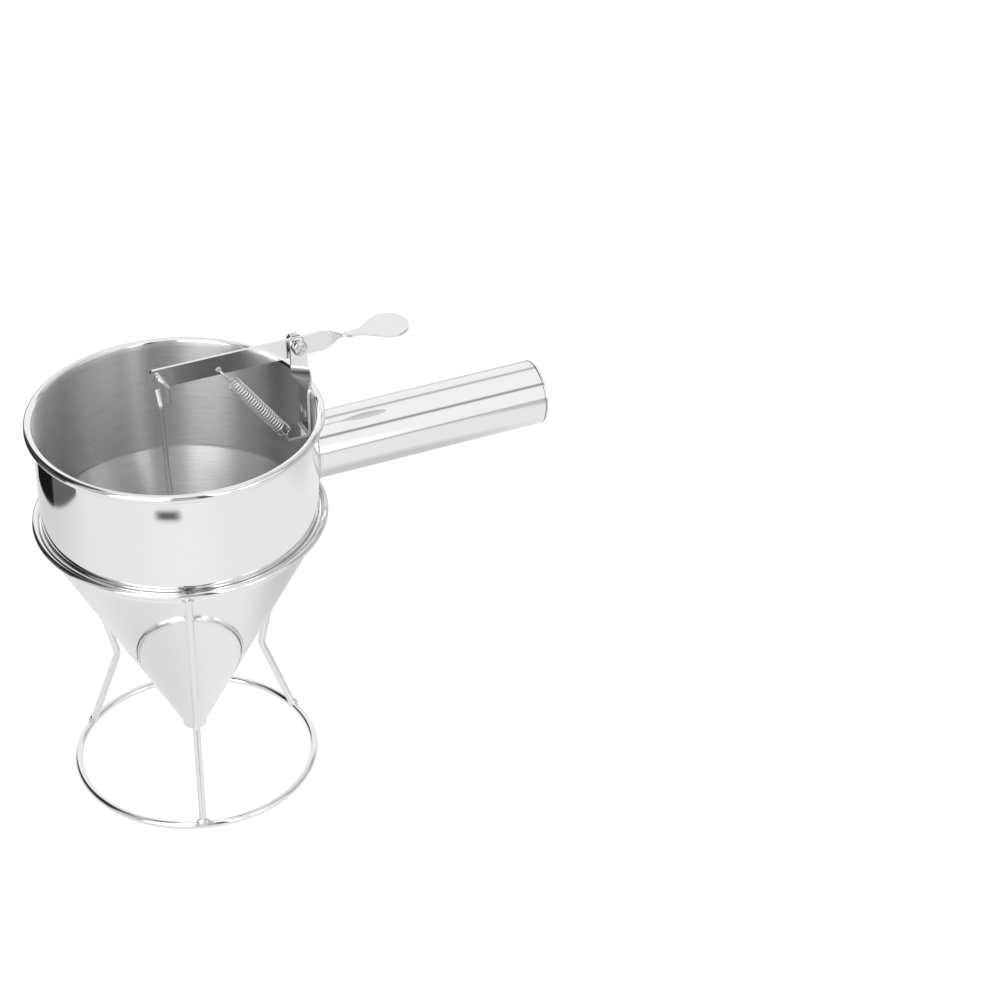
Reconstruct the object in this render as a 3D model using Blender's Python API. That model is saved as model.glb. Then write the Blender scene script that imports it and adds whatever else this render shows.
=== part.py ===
"""Batter funnel on a wire stand, with a thumb lever, lift rod and return spring.

Metres, +Z up. The stand's base ring lies on z = 0. The handle points along +X and the lever
moves in the XZ plane. The frame's origin is the middle of the footprint, at the base.
"""

from math import asin, atan2, ceil, cos, pi, radians, sin, sqrt, tan

import bmesh
import bpy
from mathutils import Matrix, Vector

MM = 0.001

# Fits shared by all pieces
SEAT_GAP = 0.3 * MM
OVERRUN = 6 * MM

# Hopper
SHEET = 0.8 * MM
BAND_RADIUS = 70.7 * MM
BAND_HEIGHT = 64.9 * MM
RIM_BEAD = 4.6 * MM
RIM_TUCK = 0.3 * MM
SHOULDER_Z = 151.5 * MM
SHOULDER_BLEND = 5.0 * MM
OUTLET_Z = 20.0 * MM
SPOUT_RADIUS = 6.6 * MM
SPOUT_HEIGHT = 4.0 * MM
SPOUT_LIP = 2.2 * MM
SEAM_OFFSET = 3.0 * MM
SEAM_LAP = 20.0 * MM
SEAM_STEP = 0.35 * MM
SEAM_WELD_COUNT = 5
SEAM_WELD_RADIUS = 1.8 * MM
SEAM_WELD_DEPTH = 0.2 * MM

# Stand
WIRE = 3.8 * MM
RING_PLAY = 0.25 * MM
RING_RISE = 5.5 * MM
BASE_RING_RADIUS = 64.8 * MM
LEG_COUNT = 3
LEG_START_ANGLE = 13.0
LEG_WAIST_RADIUS = 44.0 * MM
LEG_WAIST_Z = 54.0 * MM
LEG_BEND = 9.0 * MM
WELD_RADIAL = 2.1 * MM
WELD_ALONG = 3.4 * MM
WELD_HEIGHT = 2.2 * MM

# Handle
HANDLE_RADIUS = 17.0 * MM
HANDLE_WALL = 1.2 * MM
HANDLE_LENGTH = 130.3 * MM
HANDLE_OVER_RING = 1.3 * MM
CAP_SKIRT = 9.0 * MM
CAP_BRIM = 1.0 * MM
CAP_DOME = 2.0 * MM
CAP_ROUND = 2.4 * MM
HANDLE_WELD = 1.6 * MM

# Pivot
STRIP = 1.5 * MM
PIVOT_INSET = 4.7 * MM
PIVOT_RISE = 24.1 * MM
SCREW_SHANK = 2.0 * MM
SCREW_HEAD_RADIUS = 3.9 * MM
SCREW_HEAD_HEIGHT = 2.6 * MM
SCREW_HEAD_ROUND = 1.2 * MM
SCREW_CHAMFER = 0.5 * MM
SCREW_SLOT = 0.9 * MM
SCREW_SLOT_DEPTH = 1.1 * MM
SCREW_TAIL = 1.6 * MM
WASHER = 0.8 * MM
WASHER_RADIUS = 4.4 * MM
NUT_HEIGHT = 3.0 * MM
NUT_ACROSS_FLATS = 7.0 * MM

# Bracket
BRACKET_WIDTH = 12.0 * MM
EAR_WIDTH = 9.0 * MM
TAB_DROP = 26.0 * MM
TAB_REACH = 11.5 * MM
BRACKET_BEND = 2.5 * MM
TWIST_DROP = 2.9 * MM
EAR_DROP = 8.5 * MM
TAB_HOLE = 1.6 * MM
TAB_HOLE_INSET = 3.3 * MM
RIVET_RISE = 11.6 * MM
RIVET_SPACING = 5.5 * MM
RIVET_SHANK = 1.2 * MM
RIVET_HEAD = 2.2 * MM
RIVET_HEAD_HEIGHT = 0.9 * MM

# Lever
LEVER_HEIGHT = 10.8 * MM
LEVER_DROP = 1.8 * MM
LEVER_OVERHANG = 3.8 * MM
LEVER_STRAIGHT = 14.0 * MM
LEVER_TWIST = 18.0 * MM
NECK_WIDTH = 4.4 * MM
PADDLE_LENGTH = 28.6 * MM
PADDLE_WIDTH = 22.6 * MM
PADDLE_FLARE_SHARE = 0.61
PADDLE_TIP_ANGLE = 10.0

# Lift rod and its stopper
ROD_RADIUS = 1.45 * MM
ROD_PLAY = 0.45 * MM
HOOK_REACH = 7.4 * MM
HOOK_DROP = 0.3 * MM
HOOK_OUT = 3.7 * MM
HOOK_BEND = 2.3 * MM
HOOK_TAIL = 14.0 * MM
HOOK_TAIL_SWAY = 3.8 * MM
HOOK_SWAY_DROP = 6.0 * MM
ROD_KINK_DROP = 18.0 * MM
ROD_KINK_HEIGHT = 9.0 * MM
STOPPER_RADIUS = 8.6 * MM
STOPPER_LIFT = 5.6 * MM
STOPPER_HEIGHT = 12.0 * MM
STOPPER_SOCKET = 8.0 * MM

# Return spring
SPRING_WIRE = 0.45 * MM
SPRING_RADIUS = 3.2 * MM
SPRING_PITCH = 1.9 * MM
SPRING_LONG_HOOK = 11.7 * MM
SPRING_TAB_HOOK = 2.4 * MM
SPRING_FREE_GAP = 3.7 * MM
SPRING_TAB_END = 1.2 * MM
SPRING_ARM = 41.8 * MM
SPRING_HOLE_DROP = 4.1 * MM
SPRING_HOLE = 1.5 * MM
SPRING_CORNER = 1.3 * MM
SPRING_BAR_GAP = 0.35 * MM

# Facets, and steps along bends and twists
ROUND_STEPS = 60
HANDLE_STEPS = 40
SMALL_STEPS = 24
RIVET_STEPS = 12
TWIST_STEPS = 14
PADDLE_STEPS = 9
WIRE_SIDES = 8
SPRING_SIDES = 6
SPRING_STEPS = 9
CORNER_STEPS = 4

# Worked out from the values above
HALF = 0.5
FULL_TURN = 2 * pi
INNER_RADIUS = BAND_RADIUS - SHEET
BEAD_R = HALF * RIM_BEAD
WIRE_R = HALF * WIRE
RIM_RADIUS = BAND_RADIUS + RIM_BEAD - RIM_TUCK
RIM_TOP = SHOULDER_Z + BAND_HEIGHT
RIM_CENTRE_Z = RIM_TOP - BEAD_R
TOP_RING_RADIUS = BAND_RADIUS + SEAM_STEP + RING_PLAY + WIRE
TOP_RING_Z = SHOULDER_Z + RING_RISE
HANDLE_Z = TOP_RING_Z + WIRE_R + HANDLE_OVER_RING + HANDLE_RADIUS
HANDLE_END_X = BAND_RADIUS + HANDLE_LENGTH
AXIS_X = HALF * (max(RIM_RADIUS, TOP_RING_RADIUS) - HANDLE_END_X)
RING_CENTRE_R = TOP_RING_RADIUS - WIRE_R
BASE_CENTRE_R = BASE_RING_RADIUS - WIRE_R
SPOUT_TOP_Z = OUTLET_Z + SPOUT_HEIGHT
CONE_SLOPE = (BAND_RADIUS - SPOUT_RADIUS) / (SHOULDER_Z - SPOUT_TOP_Z)
CONE_LEAN = atan2(BAND_RADIUS - SPOUT_RADIUS, SHOULDER_Z - SPOUT_TOP_Z)
CONE_TOP_Z = SHOULDER_Z + SHOULDER_BLEND * tan(HALF * CONE_LEAN)
CORNER_RISE = SHEET * (1 / cos(CONE_LEAN) - 1) / CONE_SLOPE
PIVOT_X = BAND_RADIUS - PIVOT_INSET
PIVOT_Z = RIM_TOP + PIVOT_RISE
TAB_Z = RIM_TOP - TAB_DROP
TWIST_START_Z = RIM_TOP - TWIST_DROP
TWIST_END_Z = PIVOT_Z - EAR_DROP
RIVET_Z = TAB_Z + RIVET_RISE
EAR_Y = -(STRIP + WASHER + 2 * SEAT_GAP)
LEVER_Z = PIVOT_Z - LEVER_DROP
LEVER_TWIST_START_X = PIVOT_X + LEVER_STRAIGHT
LEVER_TWIST_END_X = LEVER_TWIST_START_X + LEVER_TWIST
HOOK_X = -HOOK_REACH
HOOK_Z = PIVOT_Z - HOOK_DROP
LEVER_INNER_X = HOOK_X - LEVER_OVERHANG
SPRING_HOLE_X = PIVOT_X - SPRING_ARM
SPRING_HOLE_Z = PIVOT_Z - SPRING_HOLE_DROP
PIVOT_HOLE = SCREW_SHANK + SEAT_GAP
ROD_HOLE = ROD_RADIUS + ROD_PLAY

# Finishes: colour, roughness, metallic
FINISHES = {
    "polished_steel": ((0.80, 0.81, 0.82), 0.08, 1.0),
    "satin_steel": ((0.62, 0.63, 0.65), 0.30, 1.0),
    "bright_wire": ((0.85, 0.86, 0.87), 0.10, 1.0),
    "spring_steel": ((0.70, 0.70, 0.71), 0.20, 1.0),
}


def clear_scene():
    """Remove every object, and the collections this script makes."""
    for thing in list(bpy.data.objects):
        bpy.data.objects.remove(thing)
    for name in ("batter_funnel", "batter_funnel_cutters"):
        old = bpy.data.collections.get(name)
        if old:
            bpy.data.collections.remove(old)


def new_collection(name):
    group = bpy.data.collections.new(name)
    bpy.context.scene.collection.children.link(group)
    return group


clear_scene()
PARTS = new_collection("batter_funnel")
CUTTERS = new_collection("batter_funnel_cutters")


def finish_material(name):
    """One Principled material per finish."""
    found = bpy.data.materials.get(name)
    if found:
        return found
    colour, roughness, metallic = FINISHES[name]
    material = bpy.data.materials.new(name)
    material.use_nodes = True
    shader = material.node_tree.nodes["Principled BSDF"]
    shader.inputs["Base Color"].default_value = (*colour, 1)
    shader.inputs["Roughness"].default_value = roughness
    shader.inputs["Metallic"].default_value = metallic
    material.diffuse_color = (*colour, 1)
    return material


def add_object(name, mesh, finish=None, group=None):
    """Put a mesh in the scene as a part, or as a cutter when it has no finish."""
    thing = bpy.data.objects.new(name, mesh)
    (group or PARTS).objects.link(thing)
    if finish:
        mesh.materials.clear()
        mesh.materials.append(finish_material(finish))
    return thing


def as_cutter(thing):
    """Keep a solid as a guide for cutting only."""
    for group in list(thing.users_collection):
        group.objects.unlink(thing)
    CUTTERS.objects.link(thing)
    thing.hide_render = True
    thing.display_type = "WIRE"
    return thing


def smooth(thing, angle=35):
    thing.data.shade_smooth()
    thing.data.set_sharp_from_angle(angle=radians(angle))
    return thing


def turned(name, profile, finish, steps=ROUND_STEPS, closed=True, centre=(0, 0)):
    """Solid of revolution about Z through centre, from an outline of (radius, z) points."""
    mesh = bpy.data.meshes.new(name)
    form = bmesh.new()
    corners = [form.verts.new((r, 0, z)) for r, z in profile]
    pairs = list(zip(corners, corners[1:]))
    if closed:
        pairs.append((corners[-1], corners[0]))
    edges = [form.edges.new(pair) for pair in pairs]
    bmesh.ops.spin(
        form, geom=corners + edges, cent=(0, 0, 0), axis=(0, 0, 1), angle=FULL_TURN,
        steps=steps, use_merge=True,
    )
    bmesh.ops.remove_doubles(form, verts=form.verts, dist=SEAT_GAP * HALF * HALF)
    bmesh.ops.recalc_face_normals(form, faces=form.faces)
    bmesh.ops.translate(form, verts=form.verts, vec=(centre[0], centre[1], 0))
    form.to_mesh(mesh)
    form.free()
    return smooth(add_object(name, mesh, finish))


def arc(centre, radius, start, end, steps):
    """Points (a, b) on a circle from start to end, in degrees."""
    points = []
    for i in range(steps + 1):
        angle = radians(start + (end - start) * i / steps)
        points.append((centre[0] + radius * cos(angle), centre[1] + radius * sin(angle)))
    return points


def rounded_path(points, radii, steps=4):
    """Replace each inner corner of a path by an arc of its radius."""
    points = [Vector(p) for p in points]
    path = [points[0]]
    for before, corner, after, radius in zip(points, points[1:], points[2:], radii):
        back = (before - corner).normalized()
        ahead = (after - corner).normalized()
        opening = back.angle(ahead)
        reach = radius / tan(HALF * opening)
        middle = (back + ahead).normalized() * (radius / sin(HALF * opening))
        centre = corner + middle
        first = corner + back * reach - centre
        last = corner + ahead * reach - centre
        sweep = first.angle(last)
        for i in range(steps + 1):
            share = i / steps
            a = sin((1 - share) * sweep) / sin(sweep)
            b = sin(share * sweep) / sin(sweep)
            path.append(centre + first * a + last * b)
    path.append(points[-1])
    return path


def tube(name, points, radius, finish, sides=WIRE_SIDES, cyclic=False):
    """Round wire along a path, as one welded mesh."""
    curve = bpy.data.curves.new(name, "CURVE")
    curve.dimensions = "3D"
    curve.bevel_depth = radius
    curve.bevel_resolution = sides // 2 - 2
    curve.use_fill_caps = not cyclic
    line = curve.splines.new("POLY")
    line.points.add(len(points) - 1)
    for knot, place in zip(line.points, points):
        knot.co = (*place, 1)
    line.use_cyclic_u = cyclic
    guide = bpy.data.objects.new(name, curve)
    PARTS.objects.link(guide)
    bpy.context.view_layer.update()
    mesh = bpy.data.meshes.new_from_object(guide.evaluated_get(bpy.context.evaluated_depsgraph_get()))
    form = bmesh.new()
    form.from_mesh(mesh)
    bmesh.ops.remove_doubles(form, verts=form.verts, dist=SEAT_GAP * HALF * HALF * HALF)
    bmesh.ops.recalc_face_normals(form, faces=form.faces)
    form.to_mesh(mesh)
    form.free()
    bpy.data.objects.remove(guide)
    bpy.data.curves.remove(curve)
    return smooth(add_object(name, mesh, finish), 60)


def lofted(name, sections, finish):
    """Strip through a row of closed sections with equal corner counts."""
    mesh = bpy.data.meshes.new(name)
    form = bmesh.new()
    rings = [[form.verts.new(corner) for corner in section] for section in sections]
    for ring, following in zip(rings, rings[1:]):
        count = len(ring)
        for i in range(count):
            j = (i + 1) % count
            form.faces.new((ring[i], ring[j], following[j], following[i]))
    form.faces.new(list(reversed(rings[0])))
    form.faces.new(rings[-1])
    bmesh.ops.recalc_face_normals(form, faces=form.faces)
    form.to_mesh(mesh)
    form.free()
    return smooth(add_object(name, mesh, finish), 30)


def cylinder(name, radius, start, end, sides=24, top_radius=None):
    """Round cutter or solid between two points."""
    start, end = Vector(start), Vector(end)
    along = end - start
    form = bmesh.new()
    bmesh.ops.create_cone(
        form, cap_ends=True, segments=sides, radius1=radius,
        radius2=radius if top_radius is None else top_radius, depth=along.length,
    )
    turn = Vector((0, 0, 1)).rotation_difference(along.normalized()).to_matrix().to_4x4()
    bmesh.ops.transform(form, matrix=Matrix.Translation((start + end) * HALF) @ turn, verts=form.verts)
    mesh = bpy.data.meshes.new(name)
    form.to_mesh(mesh)
    form.free()
    return add_object(name, mesh)


def bar_along_x(name, radius, start_x, end_x, sides=HANDLE_STEPS):
    """Round bar on the handle's axis, between two distances from the hopper's axis."""
    return cylinder(name, radius, *at_axis((start_x, 0, HANDLE_Z), (end_x, 0, HANDLE_Z)), sides=sides)


def pin_along_y(name, radius, x, z, sides=SMALL_STEPS):
    """Round cutter across the lever's plane."""
    return cylinder(name, radius, *at_axis((x, -OVERRUN, z), (x, OVERRUN, z)), sides=sides)


def ball(name, centre, radii, angle, steps=12):
    """Ellipsoid turned about Z, for weld beads."""
    form = bmesh.new()
    bmesh.ops.create_uvsphere(form, u_segments=steps, v_segments=steps // 2 + 1, radius=1)
    bmesh.ops.scale(form, vec=radii, verts=form.verts)
    bmesh.ops.rotate(form, cent=(0, 0, 0), matrix=Matrix.Rotation(angle, 3, "Z"), verts=form.verts)
    bmesh.ops.translate(form, vec=centre, verts=form.verts)
    mesh = bpy.data.meshes.new(name)
    form.to_mesh(mesh)
    form.free()
    return add_object(name, mesh)


def box(name, low, high):
    form = bmesh.new()
    bmesh.ops.create_cube(form, size=1)
    low, high = Vector(low), Vector(high)
    bmesh.ops.scale(form, vec=high - low, verts=form.verts)
    bmesh.ops.translate(form, vec=(low + high) * HALF, verts=form.verts)
    mesh = bpy.data.meshes.new(name)
    form.to_mesh(mesh)
    form.free()
    return add_object(name, mesh)


def combine(thing, other, operation="DIFFERENCE"):
    """Cut or join with another solid, which is kept as a cutter."""
    step = thing.modifiers.new(f"{operation.lower()}_{other.name}", "BOOLEAN")
    step.object = as_cutter(other)
    step.operation = operation
    step.solver = "EXACT"
    return thing


def ring_outline(centre_r, centre_z, radius, sides=WIRE_SIDES):
    """Round wire section with a flat side below, as (radius, z) points."""
    reach = radius / cos(pi / sides)
    points = []
    for i in range(sides):
        angle = (i + HALF) * FULL_TURN / sides - HALF * pi
        points.append((centre_r + reach * cos(angle), centre_z + reach * sin(angle)))
    return points


def at_axis(*places):
    """Move points from the hopper's own axis to the frame's origin."""
    return [(AXIS_X + x, y, z) for x, y, z in places]


def polar(radius, angle, z):
    return (AXIS_X + radius * cos(angle), radius * sin(angle), z)


# Stand


def leg_top():
    """Radius and height of a leg's upper end, so that its inner side just clears the shoulder."""
    lean = atan2(RING_CENTRE_R - LEG_WAIST_RADIUS, TOP_RING_Z - LEG_WAIST_Z)
    clear = BAND_RADIUS + SEAT_GAP + WIRE_R / cos(lean) / cos(pi / WIRE_SIDES)
    slope = (clear - LEG_WAIST_RADIUS) / (SHOULDER_Z - LEG_WAIST_Z)
    top_z = TOP_RING_Z - WIRE_R
    return LEG_WAIST_RADIUS + slope * (top_z - LEG_WAIST_Z), top_z


def stand_rings():
    for name, centre_r, z in (("base_ring", BASE_CENTRE_R, WIRE_R), ("top_ring", RING_CENTRE_R, TOP_RING_Z)):
        turned(name, ring_outline(centre_r, z, WIRE_R), "bright_wire", centre=(AXIS_X, 0))


def ring_clearance(name, centre_r, centre_z, angle):
    """Cutter along a ring's wire where a leg meets it, grown by the seat gap."""
    outline = ring_outline(centre_r, centre_z, WIRE_R + SEAT_GAP)
    turn = Matrix.Rotation(angle, 3, "Z")
    shift = Vector((AXIS_X, 0, 0))
    sections = [[turn @ Vector((r, y, z)) + shift for r, z in outline] for y in (-OVERRUN, OVERRUN)]
    return lofted(name, sections, None)


def stand_leg(number):
    """Bent wire leg with a weld bead at each end, cut back to both rings."""
    angle = radians(LEG_START_ANGLE) + FULL_TURN * number / LEG_COUNT
    top_r, top_z = leg_top()
    route = [
        polar(top_r, angle, top_z),
        polar(LEG_WAIST_RADIUS, angle, LEG_WAIST_Z),
        polar(BASE_CENTRE_R, angle, WIRE_R),
    ]
    name = f"stand_leg_{number + 1}"
    leg = tube(name, rounded_path(route, [LEG_BEND], 5), WIRE_R, "bright_wire")
    bead = (WELD_RADIAL, WELD_ALONG, WELD_HEIGHT)
    combine(leg, ball(f"{name}_upper_bead", polar(RING_CENTRE_R, angle, top_z), bead, angle), "UNION")
    combine(leg, ball(f"{name}_lower_bead", polar(BASE_CENTRE_R, angle, WIRE), bead, angle), "UNION")
    combine(leg, ring_clearance(f"{name}_top_clear", RING_CENTRE_R, TOP_RING_Z, angle))
    combine(leg, ring_clearance(f"{name}_base_clear", BASE_CENTRE_R, WIRE_R, angle))
    return leg


# Hopper


def band_outline():
    """Section of the sheet band: upright wall with the bead rolled outside its top."""
    low_z = CONE_TOP_Z + SEAT_GAP
    centre = (RIM_RADIUS - BEAD_R, RIM_CENTRE_Z)
    roll = arc(centre, BEAD_R, 150, -130, 12)
    inside = [(INNER_RADIUS, low_z), (INNER_RADIUS, RIM_CENTRE_Z)]
    outside = [(BAND_RADIUS, RIM_CENTRE_Z - BEAD_R), (BAND_RADIUS, low_z)]
    return inside + roll + outside


def swept_sector(name, outline, start, sweep, steps=12):
    """Outline of (radius, z) points swept about the hopper's axis through a part of a turn."""
    form = bmesh.new()
    corners = [form.verts.new((r * cos(start), r * sin(start), z)) for r, z in outline]
    face = form.faces.new(corners)
    bmesh.ops.spin(
        form, geom=corners + list(face.edges) + [face], cent=(0, 0, 0), axis=(0, 0, 1), angle=sweep,
        steps=steps, use_merge=False,
    )
    bmesh.ops.recalc_face_normals(form, faces=form.faces)
    bmesh.ops.translate(form, verts=form.verts, vec=(AXIS_X, 0, 0))
    mesh = bpy.data.meshes.new(name)
    form.to_mesh(mesh)
    form.free()
    return add_object(name, mesh)


def hopper_band():
    """Sheet band whose one end laps the other beside the handle, with a row of spot welds."""
    band = turned("hopper_band", band_outline(), "polished_steel", centre=(AXIS_X, 0))
    low_z, high_z = CONE_TOP_Z + SEAT_GAP, RIM_CENTRE_Z - BEAD_R
    middle_r = BAND_RADIUS - HALF * SHEET
    lap_r = BAND_RADIUS + SEAM_STEP
    lap_outline = [(middle_r, low_z), (lap_r, low_z), (lap_r, high_z), (middle_r, high_z)]
    sweep = SEAM_LAP / BAND_RADIUS
    lap_start = asin((HANDLE_RADIUS + HANDLE_WELD + SEAM_OFFSET) / BAND_RADIUS)
    combine(band, swept_sector("seam_lap", lap_outline, lap_start, sweep), "UNION")
    angle = lap_start + HALF * sweep
    for i in range(SEAM_WELD_COUNT):
        z = low_z + (high_z - low_z) * (i + 1) / (SEAM_WELD_COUNT + 1)
        start = polar(lap_r - SEAM_WELD_DEPTH, angle, z)
        end = polar(lap_r + OVERRUN, angle, z)
        combine(band, cylinder(f"seam_weld_{i + 1}", SEAM_WELD_RADIUS, start, end, sides=RIVET_STEPS))
    for i, place in enumerate(rivet_places()):
        combine(band, rivet_hole(f"band_rivet_hole_{i + 1}", place))
    return band


def cone_outline():
    """Section of the cone: rounded shoulder, sloping sheet, short spout, lip curled in at the outlet."""
    outer = [(BAND_RADIUS, 0, CONE_TOP_Z), (BAND_RADIUS, 0, SHOULDER_Z), (SPOUT_RADIUS, 0, SPOUT_TOP_Z)]
    inner = [
        (INNER_RADIUS, 0, CONE_TOP_Z),
        (INNER_RADIUS, 0, SHOULDER_Z + CORNER_RISE),
        (SPOUT_RADIUS - SHEET, 0, SPOUT_TOP_Z + CORNER_RISE),
    ]
    outside = [(p.x, p.z) for p in rounded_path(outer, [SHOULDER_BLEND], 3)]
    inside = [(p.x, p.z) for p in rounded_path(inner, [SHOULDER_BLEND - SHEET], 3)]
    lip = (SPOUT_RADIUS - SPOUT_LIP, OUTLET_Z + SPOUT_LIP)
    outside += arc(lip, SPOUT_LIP, 0, -90, 4)
    inside += arc(lip, SPOUT_LIP - SHEET, 0, -90, 4)
    return outside + inside[::-1]


def hopper_cone():
    return turned("hopper_cone", cone_outline(), "polished_steel", centre=(AXIS_X, 0))


# Handle


def band_clearance(name):
    """The band's outside grown by the seat gap, as an upright cylinder."""
    low = SHOULDER_Z - 2 * OVERRUN
    return cylinder(name, BAND_RADIUS + SEAT_GAP, *at_axis((0, 0, low), (0, 0, RIM_TOP)), sides=ROUND_STEPS)


def cap_brim_x():
    """Where the end cap's brim meets the tube's end."""
    return HANDLE_END_X - CAP_DOME - CAP_BRIM


def handle_tube():
    """Open tube along +X, its root cut to the band's curve."""
    start = BAND_RADIUS - OVERRUN
    pipe = bar_along_x("handle_tube", HANDLE_RADIUS, start, cap_brim_x() - SEAT_GAP)
    pipe.data.materials.append(finish_material("polished_steel"))
    combine(pipe, bar_along_x("handle_bore", HANDLE_RADIUS - HANDLE_WALL, start - OVERRUN, HANDLE_END_X))
    combine(pipe, band_clearance("handle_tube_root"))
    return smooth(pipe)


def handle_weld():
    """Fillet bead along the saddle where the tube's root meets the band."""
    route = []
    for i in range(HANDLE_STEPS):
        turn = FULL_TURN * i / HANDLE_STEPS
        y = (HANDLE_RADIUS + SEAT_GAP) * sin(turn)
        x = sqrt(BAND_RADIUS * BAND_RADIUS - y * y)
        route.append((AXIS_X + x, y, HANDLE_Z + (HANDLE_RADIUS + SEAT_GAP) * cos(turn)))
    bead = tube("handle_weld", route, HANDLE_WELD, "satin_steel", cyclic=True)
    start, end = BAND_RADIUS - 2 * OVERRUN, BAND_RADIUS + 2 * OVERRUN
    combine(bead, bar_along_x("weld_bore", HANDLE_RADIUS + SEAT_GAP, start, end))
    combine(bead, band_clearance("weld_root"))
    combine(bead, ring_clearance("weld_over_ring", RING_CENTRE_R, TOP_RING_Z, 0))
    return bead


def handle_end_cap():
    """Shallow dome with a brim over the tube's end and a skirt inside it."""
    brim_back = cap_brim_x()
    face = brim_back + CAP_BRIM
    skirt_r = HANDLE_RADIUS - HANDLE_WALL - SEAT_GAP
    half = [
        (0, HANDLE_END_X),
        (HALF * HANDLE_RADIUS, HANDLE_END_X - HALF * HALF * CAP_DOME),
        (HANDLE_RADIUS - CAP_ROUND, face),
        (HANDLE_RADIUS, face - HALF * CAP_BRIM),
        (HANDLE_RADIUS, brim_back),
        (skirt_r, brim_back),
        (skirt_r, brim_back - CAP_SKIRT),
        (skirt_r - SHEET, brim_back - CAP_SKIRT),
        (skirt_r - SHEET, brim_back),
        (0, brim_back),
    ]
    cap = turned("handle_end_cap", half, "polished_steel", steps=HANDLE_STEPS, closed=False)
    turn = Matrix.Rotation(HALF * pi, 4, "Y")
    cap.data.transform(Matrix.Translation((AXIS_X, 0, HANDLE_Z)) @ turn)
    return cap


# Bracket


def strip_section(centre, width_way, thick_way, width, thick=STRIP):
    """Rectangle with its middle, its two directions and its two sizes."""
    a = Vector(width_way).normalized() * (HALF * width)
    b = Vector(thick_way).normalized() * (HALF * thick)
    centre = Vector(centre)
    return [centre - a - b, centre + a - b, centre + a + b, centre - a + b]


def eased(share):
    """Slow start and slow end, for twists."""
    return share * share * (3 - 2 * share)


def at_each_axis(sections):
    shift = Vector((AXIS_X, 0, 0))
    return [[corner + shift for corner in section] for section in sections]


def bracket_sections():
    """Tab, bend, foot, quarter twist and ear of the strip, from the spring's tab upwards."""
    foot_x = bracket_foot_x()
    y = EAR_Y
    across = (0, 1, 0)
    sections = [strip_section((foot_x - TAB_REACH, y, TAB_Z), across, (0, 0, 1), BRACKET_WIDTH)]
    bend = (foot_x - BRACKET_BEND, TAB_Z + BRACKET_BEND)
    for x, z in arc(bend, BRACKET_BEND, -90, 0, 4):
        normal = (x - bend[0], 0, z - bend[1])
        sections.append(strip_section((x, y, z), across, (-normal[0], 0, -normal[2]), BRACKET_WIDTH))
    for i in range(TWIST_STEPS + 1):
        share = eased(i / TWIST_STEPS)
        z = TWIST_START_Z + (TWIST_END_Z - TWIST_START_Z) * i / TWIST_STEPS
        x = foot_x + (PIVOT_X - foot_x) * share
        turn = share * HALF * pi
        width = BRACKET_WIDTH + (EAR_WIDTH - BRACKET_WIDTH) * share
        broad, thick = (-sin(turn), cos(turn), 0), (-cos(turn), -sin(turn), 0)
        sections.append(strip_section((x, y, z), broad, thick, width))
    for across_half, z in arc((0, PIVOT_Z), HALF * EAR_WIDTH, 0, 80, 6):
        sections.append(strip_section((PIVOT_X, y, z), (-1, 0, 0), (0, -1, 0), 2 * across_half))
    return at_each_axis(sections)


def bracket_foot_x():
    """Middle of the foot's thickness: its outer corners just clear the band's inner wall."""
    corner_y = abs(EAR_Y) + HALF * BRACKET_WIDTH
    facet = INNER_RADIUS * cos(pi / ROUND_STEPS)
    return sqrt(facet * facet - corner_y * corner_y) - SEAT_GAP - HALF * STRIP


def tab_hole_x():
    return bracket_foot_x() - TAB_REACH + TAB_HOLE_INSET


def rivet_places():
    return [(EAR_Y - HALF * RIVET_SPACING, RIVET_Z), (EAR_Y + HALF * RIVET_SPACING, RIVET_Z)]


def rivet_hole(name, place):
    ends = at_axis((bracket_foot_x() - OVERRUN, *place), (BAND_RADIUS + OVERRUN, *place))
    return cylinder(name, RIVET_SHANK + SEAT_GAP, *ends, sides=RIVET_STEPS)


def pivot_bracket():
    bracket = lofted("pivot_bracket", bracket_sections(), "satin_steel")
    combine(bracket, pin_along_y("ear_hole", PIVOT_HOLE, PIVOT_X, PIVOT_Z))
    ends = at_axis((tab_hole_x(), 0, TAB_Z - OVERRUN), (tab_hole_x(), 0, TAB_Z + OVERRUN))
    combine(bracket, cylinder("tab_hole", TAB_HOLE, *ends, sides=SMALL_STEPS))
    for i, place in enumerate(rivet_places()):
        combine(bracket, rivet_hole(f"foot_rivet_hole_{i + 1}", place))
    return bracket


def bracket_rivet(number, place):
    """Rivet through the foot and the band: a low head inside, a lower one outside."""
    inner_face = bracket_foot_x() - HALF * STRIP - SEAT_GAP
    outer_face = BAND_RADIUS + SEAT_GAP
    outline = [
        (0, inner_face - RIVET_HEAD_HEIGHT),
        (HALF * RIVET_HEAD, inner_face - RIVET_HEAD_HEIGHT),
        (RIVET_HEAD, inner_face),
        (RIVET_SHANK, inner_face),
        (RIVET_SHANK, outer_face),
        (RIVET_HEAD, outer_face),
        (HALF * RIVET_HEAD, outer_face + HALF * RIVET_HEAD_HEIGHT),
        (0, outer_face + HALF * RIVET_HEAD_HEIGHT),
    ]
    rivet = turned(f"bracket_rivet_{number}", outline, "satin_steel", steps=RIVET_STEPS, closed=False)
    rivet.data.transform(Matrix.Rotation(HALF * pi, 4, "Y"))
    rivet.data.transform(Matrix.Translation((AXIS_X, *place)))
    return rivet


# Pivot


def pivot_stack():
    """Inner faces along Y of the pieces on the screw, counted outwards from the lever."""
    washers = HALF * STRIP + SEAT_GAP
    after_washer = washers + WASHER + SEAT_GAP
    return {
        "nut_washer": washers,
        "nut": after_washer,
        "screw_end": after_washer + NUT_HEIGHT + SCREW_TAIL,
        "spacer": -washers - WASHER,
        "head": EAR_Y - HALF * STRIP - SEAT_GAP,
    }


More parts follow.
